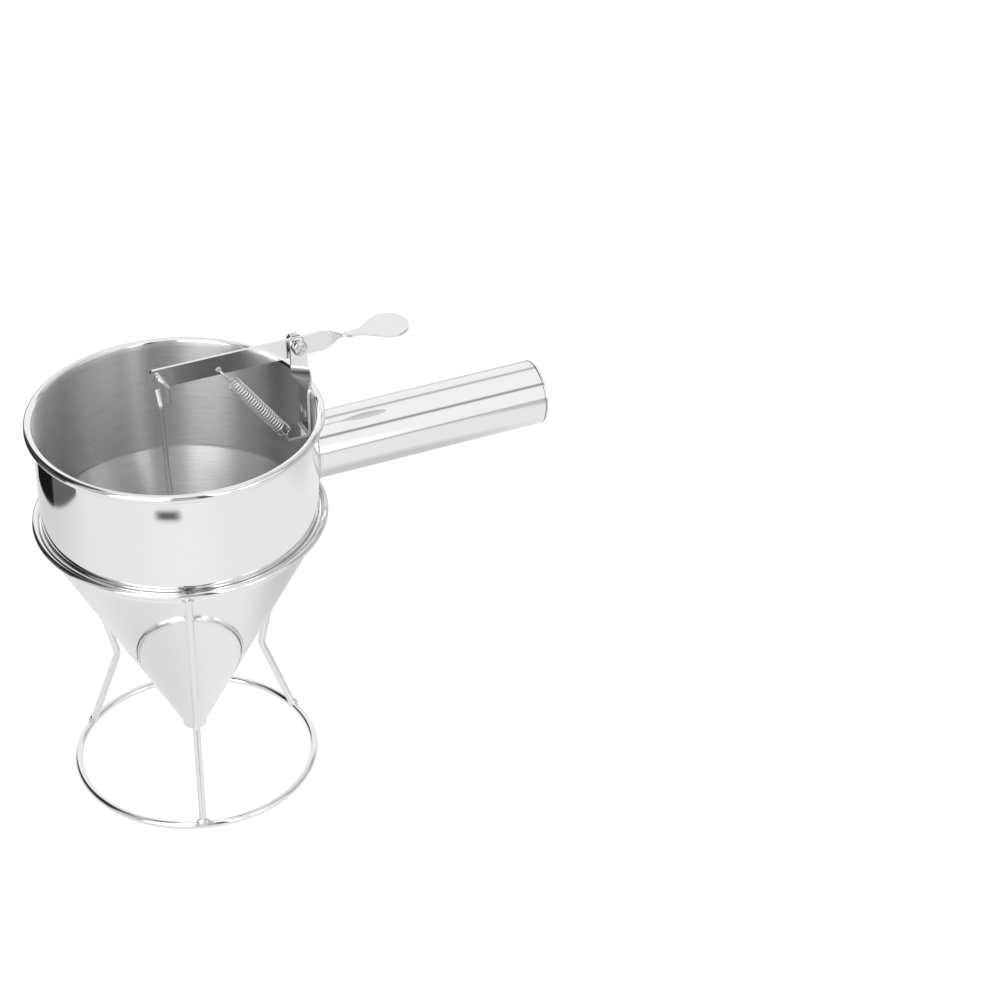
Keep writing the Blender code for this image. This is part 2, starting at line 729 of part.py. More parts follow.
def lay_on_pivot(thing):
    """Turn a piece made about Z so that it lies along Y on the lever's pivot."""
    thing.data.transform(Matrix.Rotation(-HALF * pi, 4, "X"))
    thing.data.transform(Matrix.Translation((AXIS_X + PIVOT_X, 0, PIVOT_Z)))
    return thing


def pivot_screw():
    """Pan head with a cross slot, plain shank and chamfered end."""
    head = pivot_stack()["head"]
    end = pivot_stack()["screw_end"]
    top = head - SCREW_HEAD_HEIGHT
    crown = arc((SCREW_HEAD_RADIUS - SCREW_HEAD_ROUND, top + SCREW_HEAD_ROUND), SCREW_HEAD_ROUND, -90, 0, 4)
    shank = [
        (SCREW_HEAD_RADIUS, head),
        (SCREW_SHANK, head),
        (SCREW_SHANK, end - SCREW_CHAMFER),
        (SCREW_SHANK - SCREW_CHAMFER, end),
        (0, end),
    ]
    outline = [(0, top)] + crown + shank
    screw = lay_on_pivot(turned("pivot_screw", outline, "satin_steel", steps=SMALL_STEPS, closed=False))
    long, short = SCREW_HEAD_RADIUS - SCREW_HEAD_ROUND, HALF * SCREW_SLOT
    for name, x, z in (("screw_slot_across", long, short), ("screw_slot_upright", short, long)):
        low = (AXIS_X + PIVOT_X - x, top - OVERRUN, PIVOT_Z - z)
        high = (AXIS_X + PIVOT_X + x, top + SCREW_SLOT_DEPTH, PIVOT_Z + z)
        combine(screw, box(name, low, high))
    return screw


def washer(name, start):
    bore = SCREW_SHANK + SEAT_GAP
    outline = [
        (bore, start),
        (WASHER_RADIUS, start),
        (WASHER_RADIUS, start + WASHER),
        (bore, start + WASHER),
    ]
    return lay_on_pivot(turned(name, outline, "bright_wire", steps=SMALL_STEPS))


def pivot_nut():
    """Hexagon nut, its corners chamfered on both faces."""
    start = pivot_stack()["nut"]
    end = start + NUT_HEIGHT
    flat_r = HALF * NUT_ACROSS_FLATS
    corner_r = flat_r / cos(pi / 6)
    nut = cylinder("pivot_nut", corner_r, (0, 0, start), (0, 0, end), sides=6)
    nut.data.materials.append(finish_material("satin_steel"))
    drop = HALF * (corner_r - flat_r)
    low_half = [(0, start), (flat_r, start), (corner_r, start + drop)]
    outline = low_half + [(corner_r, end - drop), (flat_r, end), (0, end)]
    chamfer = turned("nut_chamfer", outline, None, steps=SMALL_STEPS, closed=False)
    for piece in (nut, chamfer):
        lay_on_pivot(piece)
    combine(nut, chamfer, "INTERSECT")
    combine(nut, pin_along_y("nut_bore", SCREW_SHANK + SEAT_GAP, PIVOT_X, PIVOT_Z))
    return nut


# Lever


def lever_sections():
    """Strip on edge, quarter twist into a neck, a flare, and the round end of the paddle."""
    sections = []
    for x in (LEVER_INNER_X, LEVER_TWIST_START_X):
        sections.append(strip_section((x, 0, LEVER_Z), (0, 0, 1), (0, -1, 0), LEVER_HEIGHT))
    for i in range(1, TWIST_STEPS + 1):
        share = eased(i / TWIST_STEPS)
        x = LEVER_TWIST_START_X + (LEVER_TWIST_END_X - LEVER_TWIST_START_X) * i / TWIST_STEPS
        turn = share * HALF * pi
        width = LEVER_HEIGHT + (NECK_WIDTH - LEVER_HEIGHT) * share
        broad, thick = (0, -sin(turn), cos(turn)), (0, -cos(turn), -sin(turn))
        sections.append(strip_section((x, 0, LEVER_Z), broad, thick, width))
    flare = PADDLE_LENGTH * PADDLE_FLARE_SHARE
    for i in range(1, PADDLE_STEPS + 1):
        x = LEVER_TWIST_END_X + flare * i / PADDLE_STEPS
        width = NECK_WIDTH + (PADDLE_WIDTH - NECK_WIDTH) * eased(i / PADDLE_STEPS)
        sections.append(strip_section((x, 0, LEVER_Z), (0, -1, 0), (0, 0, -1), width))
    for i in range(1, PADDLE_STEPS + 1):
        angle = HALF * pi + (radians(PADDLE_TIP_ANGLE) - HALF * pi) * i / PADDLE_STEPS
        x = LEVER_TWIST_END_X + flare + (PADDLE_LENGTH - flare) * cos(angle)
        width = PADDLE_WIDTH * sin(angle)
        sections.append(strip_section((x, 0, LEVER_Z), (0, -1, 0), (0, 0, -1), width))
    return at_each_axis(sections)


def thumb_lever():
    lever = lofted("thumb_lever", lever_sections(), "satin_steel")
    combine(lever, pin_along_y("lever_pivot_hole", PIVOT_HOLE, PIVOT_X, PIVOT_Z))
    combine(lever, pin_along_y("lever_rod_hole", ROD_HOLE, HOOK_X, HOOK_Z))
    combine(lever, pin_along_y("lever_spring_hole", SPRING_HOLE, SPRING_HOLE_X, SPRING_HOLE_Z))
    return lever


# Lift rod


def stopper_floor_z():
    return OUTLET_Z + STOPPER_LIFT


def rod_x(z):
    """The rod leans from the outlet on the axis to its hook beyond the axis."""
    low = stopper_floor_z() + STOPPER_HEIGHT
    return HOOK_X * max(z - low, 0) / (HOOK_Z - low)


def lift_rod():
    """Wire from the stopper's socket up to a kink, through the lever's hole and down to a short tail."""
    socket_z = stopper_floor_z() + STOPPER_HEIGHT - STOPPER_SOCKET + SEAT_GAP
    straight_z = stopper_floor_z() + STOPPER_HEIGHT
    kink_z = HOOK_Z - ROD_KINK_DROP
    route = at_axis(
        (0, 0, socket_z),
        (0, 0, straight_z),
        (rod_x(kink_z), 0, kink_z),
        (rod_x(kink_z + ROD_KINK_HEIGHT), HOOK_OUT, kink_z + ROD_KINK_HEIGHT),
        (HOOK_X, HOOK_OUT, HOOK_Z),
        (HOOK_X, -HOOK_OUT, HOOK_Z),
        (HOOK_X + HOOK_TAIL_SWAY, -HOOK_OUT, HOOK_Z - HOOK_SWAY_DROP),
        (HOOK_X + HOOK_TAIL_SWAY, -HOOK_OUT, HOOK_Z - HOOK_TAIL),
    )
    bends = [HOOK_BEND, 2 * HOOK_BEND, 2 * HOOK_BEND, HOOK_BEND, HOOK_BEND, 2 * HOOK_BEND]
    return tube("lift_rod", rounded_path(route, bends, 4), ROD_RADIUS, "bright_wire")


def outlet_stopper():
    """Plug whose cone lies on the hopper's own cone, with a neck that takes the rod."""
    low_z = stopper_floor_z()
    top_z = low_z + STOPPER_HEIGHT
    wall_and_gap = (SHEET + SEAT_GAP) / cos(CONE_LEAN)
    low_r = SPOUT_RADIUS + CONE_SLOPE * (low_z - SPOUT_TOP_Z) - wall_and_gap
    brim_z = SPOUT_TOP_Z + (STOPPER_RADIUS + wall_and_gap - SPOUT_RADIUS) / CONE_SLOPE
    socket_r = ROD_RADIUS + SEAT_GAP
    neck_r = 2 * socket_r
    outline = [
        (0, low_z),
        (low_r, low_z),
        (STOPPER_RADIUS, brim_z),
        (STOPPER_RADIUS - SHEET, brim_z + SHEET),
        (neck_r, top_z - SHEET),
        (neck_r - HALF * SHEET, top_z),
        (socket_r, top_z),
        (socket_r, top_z - STOPPER_SOCKET),
        (0, top_z - STOPPER_SOCKET),
    ]
    stopper = turned("outlet_stopper", outline, "polished_steel", steps=32, closed=False)
    stopper.data.transform(Matrix.Translation((AXIS_X, 0, 0)))
    return stopper


# Return spring


def spring_axis():
    """Apex of the hook in the lever's hole, and the middle of the loop round the tab's edge."""
    lever_hole = Vector((SPRING_HOLE_X, 0, SPRING_HOLE_Z))
    bar_corner = Vector((tab_hole_x() - TAB_HOLE, 0, TAB_Z - HALF * STRIP))
    pull = (bar_corner - lever_hole).normalized()
    loop = bar_corner - pull * (SPRING_RADIUS - SPRING_WIRE - SPRING_BAR_GAP)
    apex = lever_hole + pull * (SPRING_HOLE - SPRING_WIRE - SPRING_BAR_GAP)
    return apex, loop


def spring_path():
    """Points along the wire: long hook, corner, even turns, corner, loop round the tab's edge."""
    apex, loop = spring_axis()
    along = (loop - apex).normalized()
    side = Vector((0, 1, 0))
    across = along.cross(side)
    length = (loop - apex).length
    r = SPRING_RADIUS
    points = []

    def place(angle, down):
        """Point on the spring's own cylinder."""
        points.append(apex + along * down + side * (r * cos(angle)) + across * (r * sin(angle)))

    climb = atan2(SPRING_PITCH, FULL_TURN * r)
    swing = HALF * pi - climb
    corner_turn = SPRING_CORNER * (1 - cos(swing)) / r
    corner_drop = SPRING_CORNER * sin(swing)
    coil_end = length - SPRING_TAB_HOOK
    turn_count = round((coil_end - SPRING_LONG_HOOK) / SPRING_PITCH) + HALF * HALF
    coil_sweep = FULL_TURN * turn_count - 2 * corner_turn
    coil_start = coil_end - SPRING_PITCH * coil_sweep / FULL_TURN
    points.append(apex + along * (coil_start - SPRING_FREE_GAP) - side * r)
    for a, b in arc((r, 0), r, 270, 90, SPRING_STEPS):
        points.append(apex + along * a + side * b)
    for i in range(CORNER_STEPS + 1):
        bend = swing * i / CORNER_STEPS
        place(SPRING_CORNER * (1 - cos(bend)) / r, coil_start - corner_drop + SPRING_CORNER * sin(bend))
    steps = ceil(coil_sweep / FULL_TURN * SPRING_STEPS)
    for i in range(1, steps):
        place(corner_turn + coil_sweep * i / steps, coil_start + (coil_end - coil_start) * i / steps)
    last_turn = FULL_TURN * turn_count
    for i in range(CORNER_STEPS + 1):
        bend = swing * (1 - i / CORNER_STEPS)
        angle = last_turn - SPRING_CORNER * (1 - cos(bend)) / r
        place(angle, coil_end + corner_drop - SPRING_CORNER * sin(bend))
    for a, b in arc((0, 0), r, 90, -90, SPRING_STEPS):
        points.append(loop + along * a + across * b)
    points.append(loop - along * SPRING_TAB_END - across * r)
    return points


def least_self_gap(points, wire):
    """Least clear distance between stretches of the wire more than three diameters apart along it."""
    run = [0]
    for a, b in zip(points, points[1:]):
        run.append(run[-1] + (b - a).length)
    least = None
    for i, a in enumerate(points):
        for j in range(i + 1, len(points)):
            if run[j] - run[i] > 6 * wire:
                distance = (points[j] - a).length - 2 * wire
                least = distance if least is None else min(least, distance)
    return least


def return_spring():
    shift = Vector((AXIS_X, 0, 0))
    points = spring_path()
    print(f"return_spring: least gap to itself {least_self_gap(points, SPRING_WIRE) / MM:.2f} mm")
    return tube("return_spring", [p + shift for p in points], SPRING_WIRE, "spring_steel", sides=SPRING_SIDES)


# Assembly


def hang_on(axis_name, place, things):
    """Parent moving pieces to an empty on their joint's axis, without moving them."""
    axis = bpy.data.objects.new(axis_name, None)
    axis.empty_display_size = HANDLE_RADIUS
    axis.location = place
    PARTS.objects.link(axis)
    bpy.context.view_layer.update()
    for thing in things:
        thing.parent = axis
        thing.matrix_parent_inverse = axis.matrix_world.inverted()


stand_rings()
for leg_number in range(LEG_COUNT):
    stand_leg(leg_number)

hopper = [hopper_band(), hopper_cone(), handle_tube(), handle_weld(), handle_end_cap(), pivot_bracket()]
for rivet_number, rivet_place in enumerate(rivet_places()):
    hopper.append(bracket_rivet(rivet_number + 1, rivet_place))
hopper.append(pivot_screw())
hopper.append(washer("pivot_spacer", pivot_stack()["spacer"]))
hopper.append(washer("nut_washer", pivot_stack()["nut_washer"]))
hopper.append(pivot_nut())
hopper.append(return_spring())
hang_on("hopper_axis", (AXIS_X, 0, TOP_RING_Z), hopper)
hang_on("lever_axis", (AXIS_X + PIVOT_X, 0, PIVOT_Z), [thumb_lever()])
hang_on("rod_axis", (AXIS_X + HOOK_X, 0, HOOK_Z), [lift_rod(), outlet_stopper()])
bpy.context.view_layer.update()
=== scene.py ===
"""Looks of a batter funnel on its wire stand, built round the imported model.

Metres, +Z up. Each piece sits where the model's own node sits, made from the sizes in the
sidebar panel. Run as a script, it builds every piece, the studio and the camera.
"""

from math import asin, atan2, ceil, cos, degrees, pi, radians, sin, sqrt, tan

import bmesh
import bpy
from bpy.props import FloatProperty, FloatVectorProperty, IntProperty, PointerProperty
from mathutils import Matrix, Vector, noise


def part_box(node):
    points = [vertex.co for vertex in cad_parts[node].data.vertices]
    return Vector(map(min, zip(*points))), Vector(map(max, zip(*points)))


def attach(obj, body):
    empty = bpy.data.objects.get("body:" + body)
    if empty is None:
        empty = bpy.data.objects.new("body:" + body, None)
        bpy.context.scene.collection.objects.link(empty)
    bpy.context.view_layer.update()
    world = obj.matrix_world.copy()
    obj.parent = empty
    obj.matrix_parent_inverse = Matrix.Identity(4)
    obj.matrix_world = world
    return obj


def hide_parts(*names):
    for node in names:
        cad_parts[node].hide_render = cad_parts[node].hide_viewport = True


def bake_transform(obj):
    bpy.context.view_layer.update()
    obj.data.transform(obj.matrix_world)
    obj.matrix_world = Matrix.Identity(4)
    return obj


bl_info = {
    "name": "Batter Funnel",
    "version": (1, 0, 0),
    "blender": (4, 5, 0),
    "location": "View3D > Sidebar > Batter Funnel",
    "description": "Builds a steel batter funnel with its wire stand, lever, rod and spring",
    "category": "Object",
}

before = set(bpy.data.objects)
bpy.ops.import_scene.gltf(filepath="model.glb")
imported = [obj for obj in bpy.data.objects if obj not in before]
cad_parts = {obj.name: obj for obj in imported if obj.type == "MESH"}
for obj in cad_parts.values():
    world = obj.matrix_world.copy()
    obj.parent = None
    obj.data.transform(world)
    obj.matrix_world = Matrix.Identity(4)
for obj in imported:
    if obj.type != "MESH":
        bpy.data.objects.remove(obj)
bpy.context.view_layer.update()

MM = 0.001
HALF = 0.5
QUARTER = 0.25
FULL_TURN = 2 * pi
MERGE = 0.001 * MM
STRIP_CREASE = 30
SHEET_CREASE = 35
WIRE_CREASE = 60
BEAD_CREASE = 80

CUP_LOW, CUP_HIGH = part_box("hopper_band")
CONE_LOW, CONE_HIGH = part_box("hopper_cone")
TOP_RING_LOW, TOP_RING_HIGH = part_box("top_ring")
BASE_RING_LOW, BASE_RING_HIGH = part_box("base_ring")
TUBE_LOW, TUBE_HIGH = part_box("handle_tube")
CAP_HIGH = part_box("handle_end_cap")[1]
BRACKET_LOW, BRACKET_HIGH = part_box("pivot_bracket")
SCREW_LOW, SCREW_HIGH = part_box("pivot_screw")
NUT_LOW, NUT_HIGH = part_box("pivot_nut")
LEVER_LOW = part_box("thumb_lever")[0]
STOPPER_LOW, STOPPER_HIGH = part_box("outlet_stopper")

AXIS = Vector((HALF * (CUP_LOW.x + CUP_HIGH.x), 0, 0))
CUP_RADIUS = HALF * (CONE_HIGH.x - CONE_LOW.x)
RIM_RADIUS = HALF * (CUP_HIGH.x - CUP_LOW.x)
JOINT_Z = HALF * (CUP_LOW.z + CONE_HIGH.z)
TOP_RING_RADIUS = HALF * (TOP_RING_HIGH.x - TOP_RING_LOW.x)
TOP_RING_Z = HALF * (TOP_RING_LOW.z + TOP_RING_HIGH.z)
BASE_RING_RADIUS = HALF * (BASE_RING_HIGH.x - BASE_RING_LOW.x)
PIVOT_X = HALF * (SCREW_LOW.x + SCREW_HIGH.x)
PIVOT_Z = HALF * (SCREW_LOW.z + SCREW_HIGH.z)
HANDLE_Z = HALF * (TUBE_LOW.z + TUBE_HIGH.z)
HANDLE_RADIUS = HALF * (TUBE_HIGH.z - TUBE_LOW.z)
ON_AXIS = Matrix.Translation(AXIS)
ON_PIVOT = Matrix.Translation((PIVOT_X, 0, PIVOT_Z)) @ Matrix.Rotation(-HALF * pi, 4, "X")


def length(name, description, default):
    """A size in metres."""
    return FloatProperty(name=name, description=description, default=default, unit="LENGTH")


def turn(name, description, default):
    """An angle in radians."""
    return FloatProperty(name=name, description=description, default=default, subtype="ANGLE")


def share(name, description, default):
    """A number without a unit."""
    return FloatProperty(name=name, description=description, default=default)


def count(name, description, default):
    return IntProperty(name=name, description=description, default=default, min=1)


def tone(name, description, default):
    return FloatVectorProperty(
        name=name, description=description, default=default, subtype="COLOR", min=0, max=1,
    )


class FunnelSheetSizes(bpy.types.PropertyGroup):
    """Cup and cone, both of one sheet thickness"""

    wall: length("Wall", "Thickness of the sheet", 0.8 * MM)
    radius: length("Radius", "Outside of the cup's wall", CUP_RADIUS)
    rim_radius: length("Rim radius", "Outside of the rolled rim", RIM_RADIUS)
    rim_top: length("Rim top", "Height of the rolled rim", CUP_HIGH.z)
    rim_bead: length("Rim bead", "Thickness of the rolled rim", 4.6 * MM)
    rim_lean: turn("Rim lean", "How far the wall leans out where it meets the rim", radians(30))
    rim_end: turn("Rim end", "Where the roll ends, from its outermost point", radians(-132))
    shoulder: length("Shoulder", "Height at which the cup turns into the cone", 151.5 * MM)
    shoulder_blend: length("Shoulder blend", "Radius of the outer shoulder", 5 * MM)
    outlet: length("Outlet", "Height of the outlet's lip", CONE_LOW.z)
    spout_radius: length("Spout radius", "Outside of the spout", 6.6 * MM)
    spout_height: length("Spout height", "Length of the spout below the cone", 4 * MM)
    spout_lip: length("Spout lip", "Radius of the curled lip", 2.2 * MM)
    spout_blend: length("Spout blend", "Radius between the cone and the spout", 3 * MM)
    seam_near: length("Seam offset", "Sideways place of the seam's near edge", 21.6 * MM)
    seam_lap: length("Seam lap", "How far one end of the sheet laps the other", 20 * MM)
    seam_step: length("Seam step", "How far the lap stands out", 0.35 * MM)
    seam_steps: count("Seam steps", "Facets along the lap", 32)
    spot_count: count("Spot welds", "Number of spot welds down the seam", 5)
    spot_radius: length("Spot radius", "Radius of one spot weld", 1.8 * MM)
    spot_depth: length("Spot depth", "Depth of one spot weld", 0.2 * MM)
    steps: count("Steps", "Facets around the cup and the cone", 288)


class FunnelStandSizes(bpy.types.PropertyGroup):
    """Two wire rings and three bent legs"""

    wire: length("Wire", "Thickness of the wire", TOP_RING_HIGH.z - TOP_RING_LOW.z)
    top_radius: length("Top radius", "Outside of the ring that holds the cup", TOP_RING_RADIUS)
    top_height: length("Top height", "Middle of the top ring", TOP_RING_Z)
    base_radius: length("Base radius", "Outside of the ring it stands on", BASE_RING_RADIUS)
    leg_count: count("Legs", "Number of legs", 3)
    leg_start: turn("First leg", "Where the first leg stands, from the handle's side", radians(13))
    waist_radius: length("Waist radius", "How far out the legs bend", 44 * MM)
    waist_height: length("Waist height", "How high up the legs bend", 54 * MM)
    bend: length("Bend", "Radius of a leg's bend", 9 * MM)
    bead_radial: length("Bead depth", "Half of a weld bead, towards the axis", 2.1 * MM)
    bead_along: length("Bead length", "Half of a weld bead, along the ring", 3.4 * MM)
    bead_height: length("Bead height", "Half of a weld bead, upright", 2.2 * MM)
    lump_radial: length("Lump depth", "Half of a lump on the top ring, towards the axis", 1.5 * MM)
    lump_along: length("Lump length", "Half of a lump on the top ring, along the ring", 5.5 * MM)
    lump_height: length("Lump height", "Half of a lump on the top ring, upright", 1.4 * MM)
    lump_gap: length("Lump gap", "Between the cup's wall and a lump", 0.4 * MM)
    lump_room: share("Lump room", "Room for an uneven lump, in its own depths", 1.2)
    lump_rise: share("Lump rise", "How far up the ring's wire a lump sits, in its radii", 0.55)
    ring_steps: count("Ring steps", "Facets around a ring", 256)
    wire_sides: count("Wire sides", "Facets round the wire", 24)


class FunnelHandleSizes(bpy.types.PropertyGroup):
    """Tube handle with its end cap and weld"""

    wall: length("Wall", "Thickness of the tube", 1.2 * MM)
    edge_round: length("Edge round", "Rounding of the tube's end", 0.2 * MM)
    cap_skirt: length("Cap skirt", "How far the cap reaches into the tube", 9 * MM)
    cap_brim: length("Cap brim", "Thickness of the cap's brim", 1 * MM)
    cap_dome: length("Cap dome", "Height of the cap's dome", 2 * MM)
    cap_round: length("Cap round", "Rounding at the brim", 2.4 * MM)
    cap_play: length("Cap play", "Between the cap's skirt and the tube", 0.1 * MM)
    dome_steps: count("Dome steps", "Facets from the dome's middle to its edge", 12)
    weld: length("Weld", "Radius of the bead at the root", 1.2 * MM)
    weld_out: length("Weld offset", "From the tube and the wall to the bead's middle", 0.6 * MM)
    weld_ripple: share("Weld ripple", "How much the bead swells and shrinks", 0.06)
    weld_ripples: count("Weld ripples", "Number of swellings in the bead", 40)
    ripple_steps: count("Ripple steps", "Sections in one swelling", 6)
    weld_sides: count("Weld sides", "Facets round the bead", 16)
    steps: count("Steps", "Facets round the tube", 160)


class FunnelBracketSizes(bpy.types.PropertyGroup):
    """Strip from the spring's tab up to the ear"""

    strip: length("Strip", "Thickness of the strip", 1.5 * MM)
    width: length("Width", "Width of the tab and the foot", 12 * MM)
    ear_width: length("Ear width", "Width of the ear", 9 * MM)
    tab_reach: length("Tab reach", "How far the tab stands in from the foot", 11.5 * MM)
    bend: length("Bend", "Radius between tab and foot", 2.5 * MM)
    twist_low: length("Twist start", "Height at which the twist starts", 213.5 * MM)
    twist_high: length("Twist end", "Height at which the twist ends", 232 * MM)
    tab_hole: length("Tab hole", "Radius of the hole for the spring", 1.6 * MM)
    tab_hole_inset: length("Hole inset", "From the tab's tip to the hole", 3.3 * MM)
    edge: length("Edge", "Rounding of the strip's edges", 0.22 * MM)
    twist_steps: count("Twist steps", "Sections along the twist", 40)
    ear_end: turn("Ear end", "Where the ear's round outline ends, from its side", radians(84))
    rivet_dome: length("Rivet dome", "Height of a rivet's head", 0.9 * MM)
    rivet_step: length("Rivet step", "From a rivet's head down to its neck", 0.5 * MM)
    rivet_steps: count("Rivet steps", "Facets round a rivet", 40)


class FunnelPivotSizes(bpy.types.PropertyGroup):
    """Screw, washers and nut of the lever's pivot"""

    shank: length("Shank", "Radius of the screw's shank", 2 * MM)
    head_radius: length("Head radius", "Radius of the screw's head", 3.9 * MM)
    head_height: length("Head height", "Height of the screw's head", 2.6 * MM)
    head_round: length("Head round", "Rounding of the head", 1.2 * MM)
    slot: length("Slot", "Width of the cross slot", 0.9 * MM)
    slot_depth: length("Slot depth", "Depth of the cross slot", 1.1 * MM)
    slot_turn: turn("Slot turn", "How far the cross slot is turned", radians(38))
    thread_pitch: length("Thread pitch", "Distance from thread to thread", 0.7 * MM)
    thread_depth: length("Thread depth", "Depth of the thread", 0.32 * MM)
    chamfer: length("Chamfer", "Chamfer of the screw's end", 0.5 * MM)
    edge: length("Edge", "Rounding of washers", 0.18 * MM)
    play: length("Play", "Between the screw and what it carries", 0.3 * MM)
    steps: count("Steps", "Facets round the screw and the washers", 48)
    nut_sides: count("Nut sides", "Flats of the nut", 6)
    nut_steps: count("Nut steps", "Facets round the nut before its flats are cut", 96)


class FunnelLeverSizes(bpy.types.PropertyGroup):
    """One strip on edge that twists into a thumb paddle"""

    strip: length("Strip", "Thickness of the strip", 1.5 * MM)
    height: length("Height", "Height of the strip on edge", 10.8 * MM)
    straight: length("Straight", "From the pivot to the twist", 14 * MM)
    twist: length("Twist", "Length of the twist", 18 * MM)
    neck_width: length("Neck width", "Width where the twist ends", 4.4 * MM)
    paddle_length: length("Paddle length", "Length of the paddle", 28.6 * MM)
    paddle_width: length("Paddle width", "Width of the paddle", 22.6 * MM)
    flare: share("Flare", "Share of the paddle's length in which it widens", 0.61)
    paddle_tip: turn("Paddle tip", "Where the paddle's outline ends, from its tip", radians(5))
    end_round: length("End round", "Rounding of the inner end's corners", 2 * MM)
    edge: length("Edge", "Rounding of the strip's edges", 0.22 * MM)
    steps: count("Steps", "Sections along the twist", 40)


class FunnelRodSizes(bpy.types.PropertyGroup):
    """Bent wire and the plug on its lower end"""

    radius: length("Radius", "Radius of the rod", 1.45 * MM)
    hole_play: length("Hole play", "Play in the lever's hole", 0.45 * MM)
    hook_reach: length("Hook reach", "From the hopper's axis to the hook", 7.4 * MM)
    hook_drop: length("Hook drop", "From the pivot's height down to the hook", 0.3 * MM)
    hook_out: length("Hook out", "Half of the way across the lever", 3.7 * MM)
    hook_bend: length("Hook bend", "Radius of the hook's bends", 2.3 * MM)
    tail: length("Tail", "From the hook down to the free end", 14 * MM)
    tail_sway: length("Tail sway", "How far the free end stands off", 3.8 * MM)
    sway_drop: length("Sway drop", "From the hook to where the free end hangs straight", 6 * MM)
    kink_drop: length("Kink drop", "From the hook down to the kink", 18 * MM)
    kink_height: length("Kink height", "Height of the kink", 9 * MM)
    socket: length("Socket", "How far the rod sits in the plug", 8 * MM)
    edge: length("Edge", "Rounding of the rod's ends", 0.25 * MM)
    plug_gap: length("Plug gap", "Between the plug and the cone", 0.3 * MM)
    plug_edge: length("Plug edge", "Chamfer of the plug's edges", 0.5 * MM)
    plug_steps: count("Plug steps", "Facets round the plug", 96)
    sides: count("Sides", "Facets round the rod", 20)


class FunnelSpringSizes(bpy.types.PropertyGroup):
    """Tension spring between the lever and the tab"""

    wire: length("Wire", "Radius of the wire", 0.45 * MM)
    radius: length("Radius", "Radius of the coil, to the wire's middle", 3.2 * MM)
    pitch: length("Pitch", "From turn to turn", 1.9 * MM)
    long_hook: length("Long hook", "Length of the hook at the lever", 11.7 * MM)
    tab_hook: length("Tab hook", "Length of the hook at the tab", 2.4 * MM)
    free_gap: length("Free gap", "From the long hook's free end to the coil", 3.7 * MM)
    tab_end: length("Tab end", "Length of the loop's free end", 1.2 * MM)
    arm: length("Arm", "From the pivot to the spring's hole", 41.8 * MM)
    hole_drop: length("Hole drop", "From the pivot's height to the hole", 4.1 * MM)
    hole: length("Hole", "Radius of the hole in the lever", 1.5 * MM)
    corner: length("Corner", "Radius where a hook leaves the coil", 1.3 * MM)
    bar_gap: length("Bar gap", "Gap between the wire and the bar it hooks on", 0.35 * MM)
    turn_steps: count("Turn steps", "Points in one turn", 24)
    corner_steps: count("Corner steps", "Points in a corner", 8)
    sides: count("Sides", "Facets round the wire", 12)


class FunnelFinishes(bpy.types.PropertyGroup):
    """Colours of the steels"""

    polished: tone("Polished", "Mirror polished sheet", (0.90, 0.90, 0.91))
    brushed: tone("Brushed", "Brushed inside of the cup", (0.86, 0.86, 0.87))
    wire: tone("Wire", "Bright drawn wire", (0.90, 0.90, 0.905))
    strip: tone("Strip", "Rolled strip of the lever and the bracket", (0.86, 0.86, 0.865))
    spring: tone("Spring", "Spring wire", (0.90, 0.90, 0.905))
    fastener: tone("Fastener", "Plated screw, washers and nut", (0.72, 0.725, 0.73))
    bead: tone("Bead", "Brushed-over weld beads", (0.74, 0.745, 0.75))
    pitted: tone("Pitted", "Pitted lumps on the top ring", (0.42, 0.42, 0.43))


class FunnelStudio(bpy.types.PropertyGroup):
    """Camera, floor and light"""

    camera_place: FloatVectorProperty(
        name="Camera place", description="Where the camera stands", unit="LENGTH",
        default=(-446.234 * MM, -1206.11 * MM, 1025.557 * MM),
    )
    azimuth: turn("Azimuth", "The camera's turn about the upright axis", radians(-25.0))
    elevation: turn("Elevation", "How far the camera looks down", radians(34.43))
    roll: turn("Roll", "The camera's roll", radians(0.289))
    lens: share("Lens", "Focal length in millimetres", 108)
    sensor: share("Sensor", "Sensor width in millimetres", 36)
    floor_size: length("Floor size", "Side of the floor", 12000 * MM)
    floor_tone: tone("Floor", "Colour of the floor", (0.22, 0.22, 0.22))
    floor_glow: share("Floor glow", "Light that the floor shows the camera", 0.90)
    floor_mirrored: share("Floor in mirrors", "Light that the near floor shows the steel", 0.88)
    floor_far: share("Far floor", "Light that the far floor shows the steel", 0.45)
    floor_near: length("Near floor", "How far the near floor reaches", 1200 * MM)
    floor_fade: length("Floor fade", "Where the far floor starts", 5500 * MM)
    room: share("Room", "Brightness of the studio's dark parts", 0.10)
    panels: share("Panels", "Strength of the light panels", 1.0)


def arc(centre, radius, start, end, steps):
    """Points (a, b) on a circle from start to end, in degrees."""
    points = []
    for i in range(steps + 1):
        angle = radians(start + (end - start) * i / steps)
        points.append((centre[0] + radius * cos(angle), centre[1] + radius * sin(angle)))
    return points


def rounded_path(points, radii, steps=12):
    """Replace each inner corner of a path by an arc of its radius."""
    points = [Vector(p) for p in points]
    path = [points[0]]
    for before, corner, after, radius in zip(points, points[1:], points[2:], radii):
        back = (before - corner).normalized()
        ahead = (after - corner).normalized()
        opening = back.angle(ahead)
        reach = radius / tan(HALF * opening)
        centre = corner + (back + ahead).normalized() * (radius / sin(HALF * opening))
        first = corner + back * reach - centre
        last = corner + ahead * reach - centre
        sweep = first.angle(last)
        for i in range(steps + 1):
            part = i / steps
            a = sin((1 - part) * sweep) / sin(sweep)
            b = sin(part * sweep) / sin(sweep)
            path.append(centre + first * a + last * b)
    path.append(points[-1])
    return path


